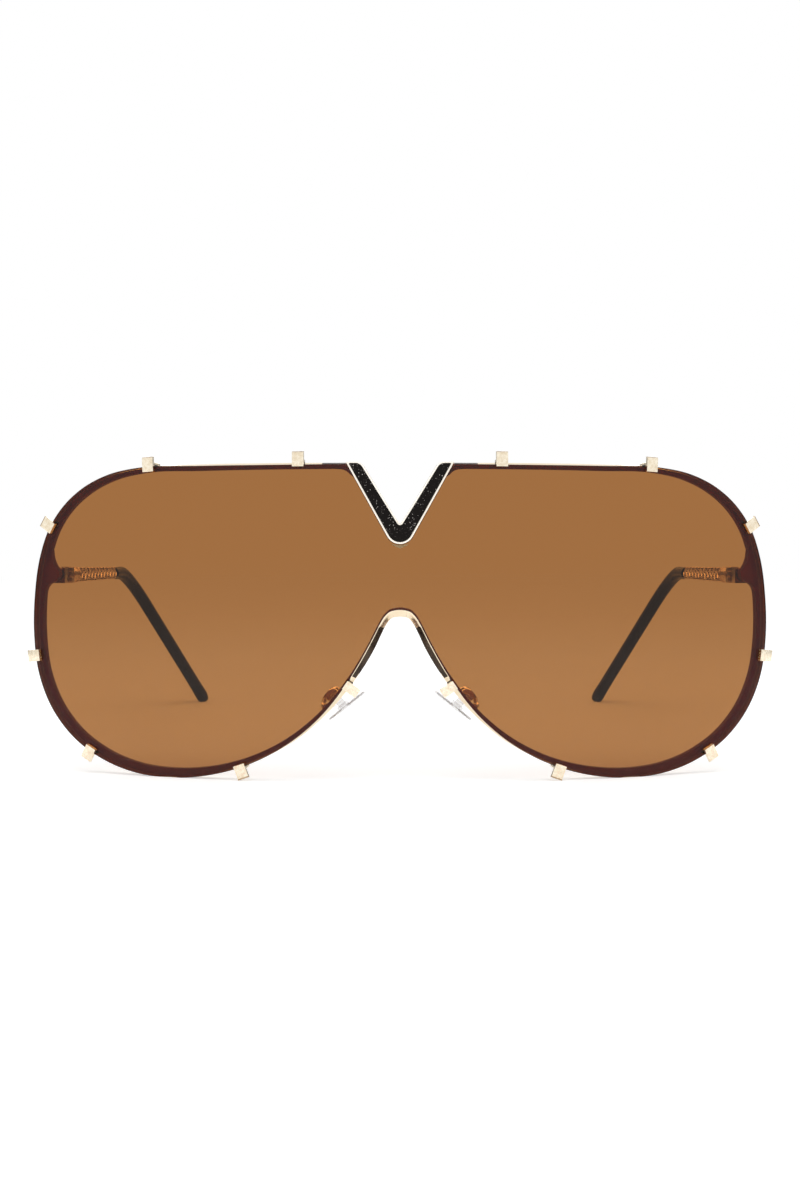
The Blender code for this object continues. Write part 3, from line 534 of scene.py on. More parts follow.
rim_gold = gold("rim_gold", (0.93, 0.80, 0.60), (0.86, 0.71, 0.50), (0.10, 0.22), 1400.0)
rim_seat, tree, shader, add, film = mottled("rim_seat", (0.60, 0.055, 0.035), (0.74, 0.075, 0.045), 800.0)
gloss = add("MapRange", Value=film, To_Min=0.45, To_Max=0.65)
tree.links.new(gloss.outputs["Result"], shader.inputs["Roughness"])
shader.inputs["Specular IOR Level"].default_value = 0.2
rim_lining, _, shader, *_ = mottled("rim_lining", (0.27, 0.060, 0.045), (0.34, 0.080, 0.055), 800.0)
shader.inputs["Roughness"].default_value = 0.5
shader.inputs["Specular IOR Level"].default_value = 0.2
rim_painted_shade = gold("rim_painted_shade", (0.10, 0.075, 0.055), (0.035, 0.025, 0.02), (0.15, 0.35), 3000.0)
seat = LENS_THICKNESS + 0.02
along = np.gradient(edge[:, :2], axis=0)
along /= np.linalg.norm(along, axis=1, keepdims=True)
left = np.column_stack([-along[:, 1], along[:, 0]])
outer = edge[:, :2] + left * np.maximum(edge[:, 2:3], EDGE_FLARE + 0.03)
inner = edge[:, :2] - left * edge[:, 3:4]
lug = smooth(LUG, 6)
toe = smooth([(v_line(LENS_TOP - drop, FIT) + out, LENS_TOP - drop) for out, drop in RIM_TOE], 5)
beside = inner[: len(edge) // 2 + 1]
above = [p for p in beside if p[0] > toe[0][0] and p[1] > LUG[0][1] + 0.4]
below = [p for p in beside if p[1] < LUG[-1][1] - 0.4]
foot = (v_line(LENS_TOP - RIM_TOE_DROP, FIT), LENS_TOP - RIM_TOE_DROP)
inner_half = [foot, *toe[::-1], *above, *lug, *below]
end = (v_line(outer[0][1], FIT), outer[0][1])
shown = [(p[0], p[1], w) for p, w in zip(outer, edge[:, 2]) if abs(p[0]) > v_line(p[1], FIT) + 0.6]
shown = [(*end, shown[0][2]), *shown, (-end[0], end[1], shown[0][2])]
hidden = [(-p[0], p[1]) for p in inner_half] + [tuple(p) for p in reversed(inner_half[:-1])]
outline = [p[:2] for p in shown] + hidden
slope = np.array([0.75 * p[2] + RIM_EDGE for p in shown] + [0.0] * len(hidden))
chamfer = np.array([0.0] * len(shown) + [RIM_EDGE] * len(hidden))
covered = np.array([max(p[2] - 0.08, 0.75 * p[2] + RIM_EDGE + 0.02) for p in shown] + [0.02] * len(hidden))
rim_profile = (
    (covered + chamfer, seat),
    (slope + chamfer, seat),
    (0.93 * slope + 0.35 * chamfer, seat + 0.03),
    (0.84 * slope, seat + 0.10),
    (0.10 * slope, RIM_BACK - 0.20),
    (0.0 * slope, RIM_BACK - RIM_EDGE),
    (0.0 * slope + RIM_EDGE, RIM_BACK),
)
solid = cut_up(stacked(outline, rim_profile), 2.0, 2.5)
# Faces of the flank beside the nose arch and of the brow beside the V get dark gold, painted shade for the
# dark they reflect
for face in solid.faces:
    across, up, depth = face.calc_center_median()
    closest = int(np.argmin(np.hypot(edge[:, 0] - across, edge[:, 1] - up)))
    outward = np.dot((across - edge[closest, 0], up - edge[closest, 1]), left[closest])
    flank = NOSE_SHADE[0] < up < NOSE_SHADE[1] and abs(across) < 12
    beside_v = BROW_SHADE[0] < abs(across) < BROW_SHADE[1] and up > 63.5
    if depth < seat + 0.001:
        face.material_index = 1 if outward < 0.06 else 0
    elif outward < -0.15 and depth < RIM_BACK - 0.02:
        face.material_index = 3
    elif depth < RIM_BACK - RIM_EDGE and (flank or beside_v):
        face.material_index = 2
platings = [rim_gold, rim_seat, rim_painted_shade, rim_lining]
finished("rim_wire", rested(bend(solid)), platings, "front", ["front_rim"], 25)


# V bridge: a cast pale gold tray that fills the notch, with a bright border along the lens and a thinner one
# round its own notch. Black enamel with loose silver glitter is poured in and domes a little.

NOTCH_HALF_WIDTH = 7.9
NOTCH_POINT = 51.9
NOTCH_ROUND = 0.45
NOTCH_MOUTH_ROUND = 1.8
V_PROUD = 0.49
V_CORNER_ROUND = 0.15
ENAMEL_BORDER = 0.4
ENAMEL_INNER_BORDER = 0.22
ENAMEL_DEPTH = 0.35
POUR_FIT = 0.01
V_SWELL = 0.13
SWELL_START = 0.25
SWELL_END = 1.85


def v_outline(border, notch_border, top):
    """The V as a closed outline, drawn in from its outer side and from its notch by a border."""
    point = V_POINT + border * sqrt(1 + v_slant * v_slant) / v_slant
    notch_slant = NOTCH_HALF_WIDTH / (V_TOP - NOTCH_POINT)
    shift = notch_border * sqrt(1 + notch_slant * notch_slant)
    mouth = (top - NOTCH_POINT) * notch_slant + shift
    corners = (
        ((v_line(top, -border), top), V_CORNER_ROUND),
        ((0, point), V_ROUND - border),
        ((-v_line(top, -border), top), V_CORNER_ROUND),
        ((-mouth, top), NOTCH_MOUTH_ROUND - notch_border),
        ((0, NOTCH_POINT - shift / notch_slant), NOTCH_ROUND + notch_border),
        ((mouth, top), NOTCH_MOUTH_ROUND - notch_border),
    )
    points = []
    for i, (corner, radius) in enumerate(corners):
        points += fillet(corners[i - 1][0], corner, corners[(i + 1) % 6][0], radius, 10)
    return points


outside = v_outline(0, 0, V_TOP)
lip = v_outline(ENAMEL_BORDER, ENAMEL_INNER_BORDER, V_TOP - ENAMEL_BORDER / 2)
swelled = drawn_in(outside, -V_SWELL)
sections = (
    (drawn_in(outside, 0.08), RIM_BACK),
    (outside, RIM_BACK - 0.08),
    (outside, SWELL_END),
    (swelled, SWELL_END - 0.1),
    (swelled, SWELL_START + 0.1),
    (outside, SWELL_START),
    (outside, 0.14 - V_PROUD),
    (drawn_in(outside, 0.02), 0.04 - V_PROUD),
    (drawn_in(outside, 0.06), -V_PROUD),
    (drawn_in(lip, -0.03), -V_PROUD),
    (lip, 0.05 - V_PROUD),
    (lip, ENAMEL_DEPTH - V_PROUD),
)
solid = bend(cut_up(lofted(sections), 1.5, 4.0))
# The tray's gold is paler than the frame's: a painted highlight standing in for the glare on its bright
# border
bridge_gold_painted_highlight = gold("bridge_gold_painted_highlight", (1.0, 0.95, 0.86), (0.98, 0.91, 0.80), (0.10, 0.18), 1400.0)
finished("v_bridge_tray", solid, [bridge_gold_painted_highlight], "front", ["v_bridge_trim"])

pour_top = V_TOP - ENAMEL_BORDER / 2 - POUR_FIT
pour = v_outline(ENAMEL_BORDER + POUR_FIT, ENAMEL_INNER_BORDER + POUR_FIT, pour_top)
floor_depth = ENAMEL_DEPTH - V_PROUD - 0.05
sections = [(pour, floor_depth), (pour, 0.14 - V_PROUD), (drawn_in(pour, 0.06), 0.07 - V_PROUD)]
sections += [(drawn_in(pour, 0.16), 0.04 - V_PROUD), (drawn_in(pour, 0.34), 0.03 - V_PROUD)]
solid = bend(cut_up(lofted(sections), 1.5, 4.0))
enamel, tree, shader, add = new_material("black_glitter_enamel")
where = add("TexCoord")
flakes = add("TexVoronoi", {"feature": "F1"}, Vector=where.outputs["Object"], Scale=3900.0)
pick = add("SeparateColor", Color=flakes.outputs["Color"])
rare = add("Math", {"operation": "GREATER_THAN"}, i0=pick.outputs["Red"], i1=0.66)
near = add("Math", {"operation": "LESS_THAN"}, i0=flakes.outputs["Distance"], i1=0.36)
fleck = add("Math", {"operation": "MULTIPLY"}, i0=rare.outputs[0], i1=near.outputs[0])
spark = add("Math", {"operation": "MULTIPLY"}, i0=fleck.outputs[0], i1=pick.outputs["Green"])
tones = ((0.0, (0.006, 0.004, 0.003)), (0.55, (0.05, 0.042, 0.038)), (1.0, (0.75, 0.70, 0.65)))
shade = ramp(add, spark.outputs[0], tones)
tree.links.new(shade, shader.inputs["Base Color"])
shader.inputs["Specular IOR Level"].default_value = 0.12
dust = add("TexNoise", Vector=where.outputs["Object"], Scale=5200.0, Detail=2.0)
grit = add("MapRange", Value=dust.outputs["Fac"], To_Min=0.22, To_Max=0.42)
tree.links.new(grit.outputs["Result"], shader.inputs["Roughness"])
bumps = add("Bump", Strength=0.25, Distance=0.00004, Height=dust.outputs["Fac"])
tree.links.new(bumps.outputs["Normal"], shader.inputs["Normal"])
finished("v_bridge_enamel_pour", solid, [enamel], "front", ["v_bridge_enamel"])

# A small tan crescent lies on the lens just below the V
low = min(point[1] for point in outside) - 0.14
crescent_outline = [(x, low + 0.22 * (x / 1.7) ** 2) for x in np.linspace(-1.7, 1.7, 17)]
crescent_outline += [(x, low - 0.72 + 0.72 * abs(x / 1.7)) for x in np.linspace(1.45, -1.45, 13)]
solid = bend(stacked(crescent_outline, [(0.0, 0.02), (0.0, -0.04), (0.06, -0.08)]))
tan_crescent, _, shader, *_ = mottled("tan_crescent_colour", (0.42, 0.27, 0.12), (0.50, 0.33, 0.16), 1500.0, 2.0)
shader.inputs["Roughness"].default_value = 0.5
finished("v_bridge_tan_crescent", solid, [tan_crescent], "front")


# Claws: fourteen small cast gold clips. Each has a square stud with softened edges in front of the lens, a
# strap down its edge and a hook behind the rim, and is pinched on with pliers. A black sheet round the lens's
# edge under stud and strap is painted shadow, and some studs have a darker outer end strip, painted shade.

# Middle of the stud across and up, half its length, and its width
CLAWS = {
    "brow_inner": (20.55, 65.2, 1.5, 2.35),
    "brow_outer": (52.25, 63.8, 1.5, 2.35),
    "temple_upper": (75.85, 51.05, 1.5, 2.35),
    "temple_lower": (79.5, 24.0, 1.5, 2.35),
    "cheek_outer": (66.6, 4.45, 1.5, 2.35),
    "cheek_inner": (32.45, 2.1, 1.5, 2.35),
    "nose": (9.3, 19.0, 1.1, 1.95),
}
# How far the darker strip of painted shade reaches in from the outer end of some studs
END_SHADE_STRIP = {"temple_upper": 0.28, "cheek_inner": 0.34, "brow_inner": 0.16, "brow_outer": 0.16}
STUD_CORNER = 0.32
STUD_PROUD = 0.85
BROW_FLOW = 0.5
SIDE_FLOW = 0.22
LEAST_GRIP = 0.05
STRAP_WIDTH = 1.5
STRAP_THICKNESS = 0.55
SHADOW_SHEET_WIDTH = 2.1
SHADOW_SHEET_FIT = 0.03
HOOK_THICKNESS = 0.6
HOOK_REACH = 0.4
CLAW_FIT = 0.12
CLAW_ROUND = 0.12

claw_gold = gold("claw_gold", (1.0, 0.91, 0.74), (0.82, 0.69, 0.50), (0.08, 0.36), 3600.0, 1500.0, 0.45)
claw_end_painted_shade = gold("claw_end_painted_shade", (0.62, 0.46, 0.30), (0.36, 0.25, 0.15), (0.20, 0.45), 3000.0, 900.0, 0.35)
claw_shadow_sheet, _, shader, *_ = mottled("claw_painted_shadow_sheet", (0.008, 0.007, 0.006), (0.018, 0.014, 0.012), 2600.0)
shader.inputs["Roughness"].default_value = 0.55


def joined(solids):
    """Several solids as one."""
    whole = bmesh.new()
    for solid in solids:
        mesh = bpy.data.meshes.new("part")
        solid.to_mesh(mesh)
        solid.free()
        whole.from_mesh(mesh)
        bpy.data.meshes.remove(mesh)
    return whole


def rounded(solid, lines, width, segments=2):
    """Rounds the edges of a solid off."""
    bmesh.ops.bevel(
        solid,
        geom=lines,
        offset=width,
        segments=segments,
        profile=0.5,
        affect="EDGES",
        material=-1,
        clamp_overlap=True,
    )
    return solid


def slab(profile, width, soften, corner=0.0):
    """A flat profile (out, depth) made solid across a width, with round corners and softened edges."""
    solid = bmesh.new()
    face = solid.faces.new([solid.verts.new((x, y, -width / 2)) for x, y in profile])
    grown = bmesh.ops.extrude_face_region(solid, geom=[face], use_keep_orig=True)
    far_side = [part for part in grown["geom"] if isinstance(part, bmesh.types.BMVert)]
    bmesh.ops.translate(solid, vec=(0, 0, width), verts=far_side)
    bmesh.ops.recalc_face_normals(solid, faces=solid.faces)
    for size, segments, upright in ((corner, 4, True), (soften, 2, False)):
        picked = []
        for line in solid.edges:
            way = (line.verts[0].co - line.verts[1].co).normalized()
            if line.calc_face_angle(0) > radians(40) and (not upright or abs(way.y) > 0.9):
                picked.append(line)
        if size > 0:
            rounded(solid, picked, size, segments)
    return solid


fine_edge = smooth(edge_knots, 80)
fine_along = np.gradient(fine_edge[:, :2], axis=0)
fine_along /= np.linalg.norm(fine_along, axis=1, keepdims=True)
back = RIM_BACK + CLAW_FIT
for place, (across, up, stud_half, stud_width) in CLAWS.items():
    nearest = int(np.argmin(np.hypot(fine_edge[:, 0] - across, fine_edge[:, 1] - up)))
    root = fine_edge[nearest, :2]
    out_way = np.array((-fine_along[nearest, 1], fine_along[nearest, 0]))
    middle = float(np.dot(np.array((across, up)) - root, out_way))
    stud_out = middle + stud_half
    stud_in = min(middle - stud_half, -LEAST_GRIP)
    strap_in = fine_edge[nearest, 2] + CLAW_FIT
    strap_out = strap_in + STRAP_THICKNESS
    round_end = BROW_FLOW if "brow" in place else SIDE_FLOW
    flow = [(round_end * sin(a), round_end * cos(a)) for a in np.linspace(0, pi / 2, 6)]
    stud = [(stud_in, -STUD_PROUD)]
    stud += [(stud_out - round_end + x, round_end - STUD_PROUD - y) for x, y in flow]
    stud += [(stud_out, -CLAW_FIT), (stud_in, -CLAW_FIT)]
    strap = (
        (strap_in, -STUD_PROUD / 2),
        (strap_out, -STUD_PROUD / 2),
        (strap_out, back + HOOK_THICKNESS),
        (-HOOK_REACH, back + HOOK_THICKNESS),
        (-HOOK_REACH, back),
        (strap_in, back),
    )
    # A black sheet round the lens's edge between stud, strap and rim: painted shadow
    deep = RIM_FRONT - SHADOW_SHEET_FIT
    sleeve = ((SHADOW_SHEET_FIT, -CLAW_FIT), (strap_in, -CLAW_FIT), (strap_in, deep), (SHADOW_SHEET_FIT, deep))
    for side, name in ((1, "left"), (-1, "right")):
        shadow_sheet = slab(sleeve, min(SHADOW_SHEET_WIDTH, stud_width - 0.1), 0.03)
        for face in shadow_sheet.faces:
            face.material_index = 1
        head = slab(stud, stud_width, CLAW_ROUND, STUD_CORNER)
        # A darker strip across the stud's outer end: painted shade
        if place in END_SHADE_STRIP:
            strip = stud_out - END_SHADE_STRIP[place]
            sliced(head, (strip, 0, 0), (1, 0, 0))
            for face in head.faces:
                if face.calc_center_median().x > strip:
                    face.material_index = 2
        solid = joined([head, slab(strap, STRAP_WIDTH, CLAW_ROUND), shadow_sheet])
        for corner in solid.verts:
            out, depth, aside = corner.co
            across = root[0] + out_way[0] * out - out_way[1] * aside
            up = root[1] + out_way[1] * out + out_way[0] * aside
            corner.co = bent(across, up, depth)
            corner.co.x *= side
        clip = f"claw_clip_{name}_{place}"
        finished(clip, solid, [claw_gold, claw_shadow_sheet, claw_end_painted_shade], "front", [f"claw_{name}_{place}"])


# Hinges: cast and milled gold halves. The front half has two knuckles on a leaf brazed to the rim's lug, and
# the temple half one knuckle on a block. A slotted screw sunk in the top knuckle holds them.

# The hinge gold is darkened: painted shade for the shadowed gap round the knuckles
hinge_gold_painted_shade = gold("hinge_gold_painted_shade", (0.44, 0.29, 0.17), (0.16, 0.10, 0.06), (0.16, 0.30), 1800.0, 500.0)


def softened(node, width):
    """A copy of a CAD piece, merged, with its flat faces whole again and its edges broken."""
    solid = bmesh.new()
    solid.from_mesh(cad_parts[node].data)
    bmesh.ops.remove_doubles(solid, verts=solid.verts, dist=0.000002)
    bmesh.ops.dissolve_limit(solid, angle_limit=radians(1.0), verts=solid.verts, edges=solid.edges)
    sharp = [line for line in solid.edges if line.calc_face_angle(0) > radians(40)]
    return rounded(solid, sharp, width * MM)


for name in ("left", "right"):
    for node, body in ((f"front_hinge_{name}", "front"), (f"temple_hinge_{name}", f"temple_{name}_arm")):
        finished(f"{node}_half", softened(node, 0.08), [hinge_gold_painted_shade], body, [node], 35)
    node = f"hinge_screw_{name}"
    finished(f"{node}_slotted", softened(node, 0.04), [hinge_gold_painted_shade], "front", [node], 35)


# Temples: a gold bar dressed as a flat plait of three strands, each of three wires. Next to the hinge it has
# two plain rings with a close coil of wire between them. It slims towards the ear and ends in the tip.

HINGE_PLACE = (70.0, -42.144, 39.603)
TEMPLE_IN = 2.65
TEMPLE_DROP = 3.7
BLOCK_END = 4.7
TEMPLE_END = 71.2
FRONT_HEIGHT = 3.15
BACK_HEIGHT = 2.7
THICKNESS_SHARE = 0.76
RING_PLACES = (5.6, 13.2)
RING_LENGTH = 0.9
RING_PROUD = 0.16
COIL_TURNS = 14
COIL_DROP = 0.22
COIL_CORE_DROP = 0.32
PLAIT_PERIOD = 14.4
PLAIT_CORE_DROP = 0.7
STRAND_RISE = 0.88
STRAND_FLATNESS = 0.16
STRAND_DEPTH = 0.84
STRAND_STEEPNESS = 2.6
WIRE_PITCH = 0.36
WIRE_RADIUS = 0.2
MIDDLE_WIRE_RADIUS = 0.22

to_frame = Matrix.Translation(HINGE_PLACE) @ Matrix.Rotation(radians(TEMPLE_IN), 4, "Z")
to_frame = to_frame @ Matrix.Rotation(-radians(TEMPLE_DROP), 4, "X")


def bar_height(place):
    return FRONT_HEIGHT + (BACK_HEIGHT - FRONT_HEIGHT) * (place - BLOCK_END) / (TEMPLE_END - BLOCK_END)


def wire(points, radius, closed=False, resolution=2):
    """A round wire along points in millimetres, as a mesh."""
    curve = bpy.data.curves.new("wire", "CURVE")
    curve.dimensions = "3D"
    curve.bevel_depth = radius
    curve.bevel_resolution = resolution
    curve.use_fill_caps = not closed
    spline = curve.splines.new("POLY")
    spline.points.add(len(points) - 1)
    for knot, point in zip(spline.points, points):
        knot.co = (*point, 1.0)
    spline.use_cyclic_u = closed
    holder = bpy.data.objects.new("wire", curve)
    scene.collection.objects.link(holder)
    bpy.context.view_layer.update()
    mesh = bpy.data.meshes.new_from_object(holder.evaluated_get(bpy.context.evaluated_depsgraph_get()))
    solid = bmesh.new()
    solid.from_mesh(mesh)
    bmesh.ops.remove_doubles(solid, verts=solid.verts, dist=0.0005)
    bpy.data.objects.remove(holder, do_unlink=True)
    bpy.data.curves.remove(curve)
    bpy.data.meshes.remove(mesh)
    return solid


def placed(solid, matrix, side):
    """Sets a solid drawn in millimetres in the frame, mirrored for the wearer's right."""
    bmesh.ops.transform(solid, matrix=matrix, verts=solid.verts)
    bmesh.ops.scale(solid, vec=(side * MM, MM, MM), verts=solid.verts)
    return solid


def oval_band(start, end, proud, soften):
    """A stretch of the oval bar along Y with softened ends."""
    high = bar_height((start + end) / 2) / 2 + proud
    ring = [(THICKNESS_SHARE * high * cos(a), high * sin(a)) for a in np.arange(48) * 2 * pi / 48]
    profile = [(soften, start), (soften * 0.3, start + soften * 0.3), (0, start + soften)]
    profile += [(0, end - soften), (soften * 0.3, end - soften * 0.3), (soften, end)]
    solid = stacked(ring, profile)
    lay = Matrix.Rotation(radians(90), 4, "X") @ Matrix.Scale(-1, 4, (0, 0, 1))
    bmesh.ops.transform(solid, matrix=lay, verts=solid.verts)
    return solid


def darkened(solid, least):
    """Gives the wires their plating only where they face out from the bar, and painted shade on the faces
    that turn in between them.
    """
    solid.normal_update()
    for face in solid.faces:
        x, y, z = face.calc_center_median()
        outward = face.normal.dot(Vector((x, 0.0, z)).normalized())
        face.material_index = 0 if outward > least else 1
    return solid


def strand_wires():
    """The nine wires of the plait. Each strand steps steeply from one face of the bar to the other."""
    wires = []
    run = np.arange(RING_PLACES[1], TEMPLE_END, 0.3)
    for strand in range(3):
        turn = 2 * pi * (run / PLAIT_PERIOD + strand / 3)
        share = np.array([bar_height(place) for place in run]) / FRONT_HEIGHT
        rise = share * (STRAND_RISE * np.sin(turn) - STRAND_FLATNESS * np.sin(3 * turn))
        out = STRAND_DEPTH * share * np.tanh(STRAND_STEEPNESS * np.sin(2 * turn))
        slope = np.gradient(rise, run)
        for lane in (-1, 0, 1):
            across = lane * WIRE_PITCH * share / np.sqrt(1 + slope**2)
            centre = np.column_stack([out, run - slope * across, rise + across])
            radius = WIRE_RADIUS if lane else MIDDLE_WIRE_RADIUS
            wires.append(darkened(wire(centre.tolist(), radius, resolution=3), 0.25))
    return wires


def coil():
    """The close coil between the rings."""
    start, end = RING_PLACES[0] + RING_LENGTH / 2, RING_PLACES[1] - RING_LENGTH / 2
    points = []
    for k in range(COIL_TURNS * 24 + 1):
        angle = 2 * pi * k / 24
        place = start + WIRE_RADIUS + (end - start - 2 * WIRE_RADIUS) * k / (COIL_TURNS * 24)
        high = bar_height(place) / 2 - COIL_DROP
        points.append((THICKNESS_SHARE * high * cos(angle), place, high * sin(angle)))
    return darkened(wire(points, WIRE_RADIUS), 0.6)


braid_gold = gold("braid_gold", (0.92, 0.79, 0.62), (0.74, 0.56, 0.40), (0.06, 0.2), 1600.0)
crevice_shade, _, shader, *_ = mottled("painted_crevice_shade", (0.02, 0.008, 0.004), (0.06, 0.026, 0.013), 900.0)
shader.inputs["Roughness"].default_value = 0.6
for side, name in ((1, "left"), (-1, "right")):
    body = f"temple_{name}_arm"
    bar = [oval_band(BLOCK_END, RING_PLACES[0], 0.0, 0.1)]
    for place in RING_PLACES:
        bar.append(oval_band(place - RING_LENGTH / 2, place + RING_LENGTH / 2, RING_PROUD, RING_PROUD))
    core = [oval_band(RING_PLACES[0], RING_PLACES[1], -COIL_CORE_DROP, 0.1)]
    core += [oval_band(RING_PLACES[1], TEMPLE_END - 0.2, -PLAIT_CORE_DROP, 0.1)]
    # The core under the coil and the plait takes the painted crevice shade
    for filler in core:
        for face in filler.faces:
            face.material_index = 1
    solid = placed(joined(bar + core + [coil()] + strand_wires()), to_frame, side)
    finished(f"temple_braid_{name}", solid, [braid_gold, crevice_shade], body, [f"temple_{name}"], 60)


# Temple tips: dark brown acetate sleeves pushed on the core wire, oval in section, bent down behind the ear
# and widening to a round end that stands on the table. Tumbled to a gloss.

TIP_FIT = 0.15
TIP_MOUTH_WIDTH = 2.45
TIP_END_WIDTH = 4.3
TIP_MOUTH_THICKNESS = 2.45
TIP_END_THICKNESS = 2.2
TIP_FULLER = 0.2
TIP_BULB = 0.08
TIP_DOME = 0.95
TIP_ROUNDNESS = 0.8
MOUTH_DRAW = 0.22
MOUTH_LENGTH = 0.35
FULLER_LENGTH = 6.0
BULB_LENGTH = 7.0
TIP_LEAD = 12.7
TIP_BEND_RADIUS = 20.0
TIP_BEND = 57.7
TIP_LEAN = 27.4

bend_angle = radians(TIP_BEND)
drop, lean = radians(TEMPLE_DROP), radians(TIP_LEAN)
start = TEMPLE_END + TIP_FIT
route = [(start + TIP_LEAD * k / 12, 0.0) for k in range(13)]
for k in range(1, 21):
    turn = bend_angle * k / 20
    route.append((start + TIP_LEAD + TIP_BEND_RADIUS * sin(turn), TIP_BEND_RADIUS * (1 - cos(turn))))
fall = (sin(drop), cos(lean) * cos(drop))
height = HINGE_PLACE[2] - route[-1][0] * fall[0] - route[-1][1] * fall[1]
rate = cos(bend_angle) * fall[0] + sin(bend_angle) * fall[1]
straight = (height - TIP_END_WIDTH / 2 * hypot(*fall)) / rate
last = route[-1]
for k in range(1, 19):
    run = straight * k / 18
    route.append((last[0] + run * cos(bend_angle), last[1] + run * sin(bend_angle)))
route = np.array(route)
run = np.concatenate([[0.0], np.cumsum(np.linalg.norm(np.diff(route, axis=0), axis=1))])
towards_ear = Vector((-sin(lean), 0, -cos(lean)))
ahead = Vector((0, 1, 0))
tip_plane = Matrix((ahead, towards_ear, ahead.cross(towards_ear))).transposed().to_4x4()


def tip_sleeve():
    """The sleeve as a blank tube, cut into rings, with each ring set on the route."""
    rings = sorted([0.0, 0.12, 0.35, 0.8, *run[1:]])
    domes = [0.25, 0.5, 0.7, 0.85, 0.95, 0.992]
    solid = bmesh.new()
    bmesh.ops.create_cone(solid, cap_ends=True, segments=32, radius1=1.0, radius2=1.0, depth=1.0)
    bmesh.ops.translate(solid, vec=(0, 0, 0.5), verts=solid.verts)
    count = len(rings) + len(domes) - 1
    for k in range(1, count):
        sliced(solid, (0, 0, k / count), (0, 0, 1), 0.00001)
    heading = np.gradient(route, axis=0)
    heading /= np.linalg.norm(heading, axis=1, keepdims=True)
    for corner in solid.verts:
        k = round(corner.co.z * count)
        angle = atan2(corner.co.y, corner.co.x)
        if k < len(rings):
            place, shrink, beyond = rings[k], 1.0, 0.0
            mouth = MOUTH_DRAW * max(0.0, 1 - place / MOUTH_LENGTH) ** 2
        else:
            dome = domes[k - len(rings)]
            place, shrink, mouth = run[-1], sqrt(1 - dome * dome), 0.0
            beyond = dome * TIP_END_WIDTH / 2 * TIP_DOME
        share = place / run[-1]
        centre = np.array([np.interp(place, run, route[:, axis]) for axis in (0, 1)])
        way = np.array([np.interp(place, run, heading[:, axis]) for axis in (0, 1)])
        way /= np.linalg.norm(way)
        half = ((TIP_MOUTH_WIDTH + (TIP_END_WIDTH - TIP_MOUTH_WIDTH) * share) / 2 - mouth) * shrink
        thick = ((TIP_MOUTH_THICKNESS + (TIP_END_THICKNESS - TIP_MOUTH_THICKNESS) * share) / 2 - mouth)
        thick *= shrink**0.5
        thick *= 1 + TIP_BULB * min(1.0, max(0.0, 1 - (run[-1] - place) / BULB_LENGTH)) ** 2
        fuller = min(1.0, place / FULLER_LENGTH)
        flat = abs(cos(angle)) ** TIP_ROUNDNESS * (1 if cos(angle) > 0 else -1) * half
        deep = abs(sin(angle)) ** TIP_ROUNDNESS * (1 if sin(angle) > 0 else -1) * thick
        deep *= 1 + TIP_FULLER * fuller
        deep -= TIP_FULLER * fuller * thick
        centre = centre + way * beyond + np.array((-way[1], way[0])) * flat
        corner.co = (centre[0], centre[1], deep)
    return solid


acetate, tree, shader, add = new_material("dark_brown_acetate")
where = add("TexCoord")
stretch = add("Mapping", Vector=where.outputs["Object"], Scale=(1.0, 0.35, 0.6))
swirl = add("TexNoise", Vector=stretch.outputs["Vector"], Scale=260.0, Detail=5.0, Distortion=1.2)
colour = ramp(
    add,
    swirl.outputs["Fac"],
    ((0.35, (0.003, 0.002, 0.002)), (0.62, (0.005, 0.003, 0.0025)), (0.8, (0.014, 0.006, 0.004))),
)
tree.links.new(colour, shader.inputs["Base Color"])
scuffs = add("TexNoise", Vector=where.outputs["Object"], Scale=900.0, Detail=4.0)
worn = add("MapRange", Value=scuffs.outputs["Fac"], From_Min=0.3, From_Max=0.7, To_Min=0.26, To_Max=0.44)
shader.inputs["Specular IOR Level"].default_value = 0.11
tree.links.new(worn.outputs["Result"], shader.inputs["Roughness"])
skin = add("Bump", Strength=0.06, Distance=0.00005, Height=scuffs.outputs["Fac"])
tree.links.new(skin.outputs["Normal"], shader.inputs["Normal"])
for side, name in ((1, "left"), (-1, "right")):
    body = f"temple_{name}_arm"
    solid = rested(placed(tip_sleeve(), to_frame @ tip_plane, side))
    finished(f"tip_sleeve_{name}", solid, [acetate], body, [f"temple_tip_{name}"])


# Pad arms: gold wire, bent in a loop from a foot brazed to the rim to a small milled box, which holds the
# pad's stem with a tiny slotted screw.

PAD_PLACE = (13.4, -62.144, 16.703)
PAD_SPREAD = 50.6
PAD_SPLAY = 12.0
BOX_MIDDLE = 0.2
BOX_HALF = (1.2, 1.4)

pad_gold = gold("pad_arm_gold", (0.92, 0.77, 0.54), (0.78, 0.60, 0.38), (0.14, 0.26), 1800.0)
to_pad = Matrix.Translation(PAD_PLACE) @ Matrix.Rotation(-radians(PAD_SPREAD), 4, "Y")
to_pad = to_pad @ Matrix.Rotation(radians(PAD_SPLAY), 4, "X")


def rounded_box(solid, side):
    """Rounds the pad box of an arm to a barrel round its screw."""
    into = Matrix.Scale(MM, 4) @ to_pad
    if side < 0:
        into = Matrix.Scale(-1, 4, (1, 0, 0)) @ into
    bmesh.ops.transform(solid, matrix=into.inverted(), verts=solid.verts)
    for axis in (0, 2):
        for k in range(-4, 5):
            way = Vector((axis == 0, 0, axis == 2))
            sliced(solid, way * k * 0.3, way)
    for corner in solid.verts:
        x, y, z = corner.co
        across, up = (x - BOX_MIDDLE) / BOX_HALF[0], z / BOX_HALF[1]
        if abs(y) < 1.3 and abs(across) < 1.01 and abs(up) < 1.01:
            share = max(abs(across), abs(up)) / max(hypot(across, up), 0.001)
            corner.co = (BOX_MIDDLE + (x - BOX_MIDDLE) * share, y, z * share)
    bmesh.ops.transform(solid, matrix=into, verts=solid.verts)
    return solid


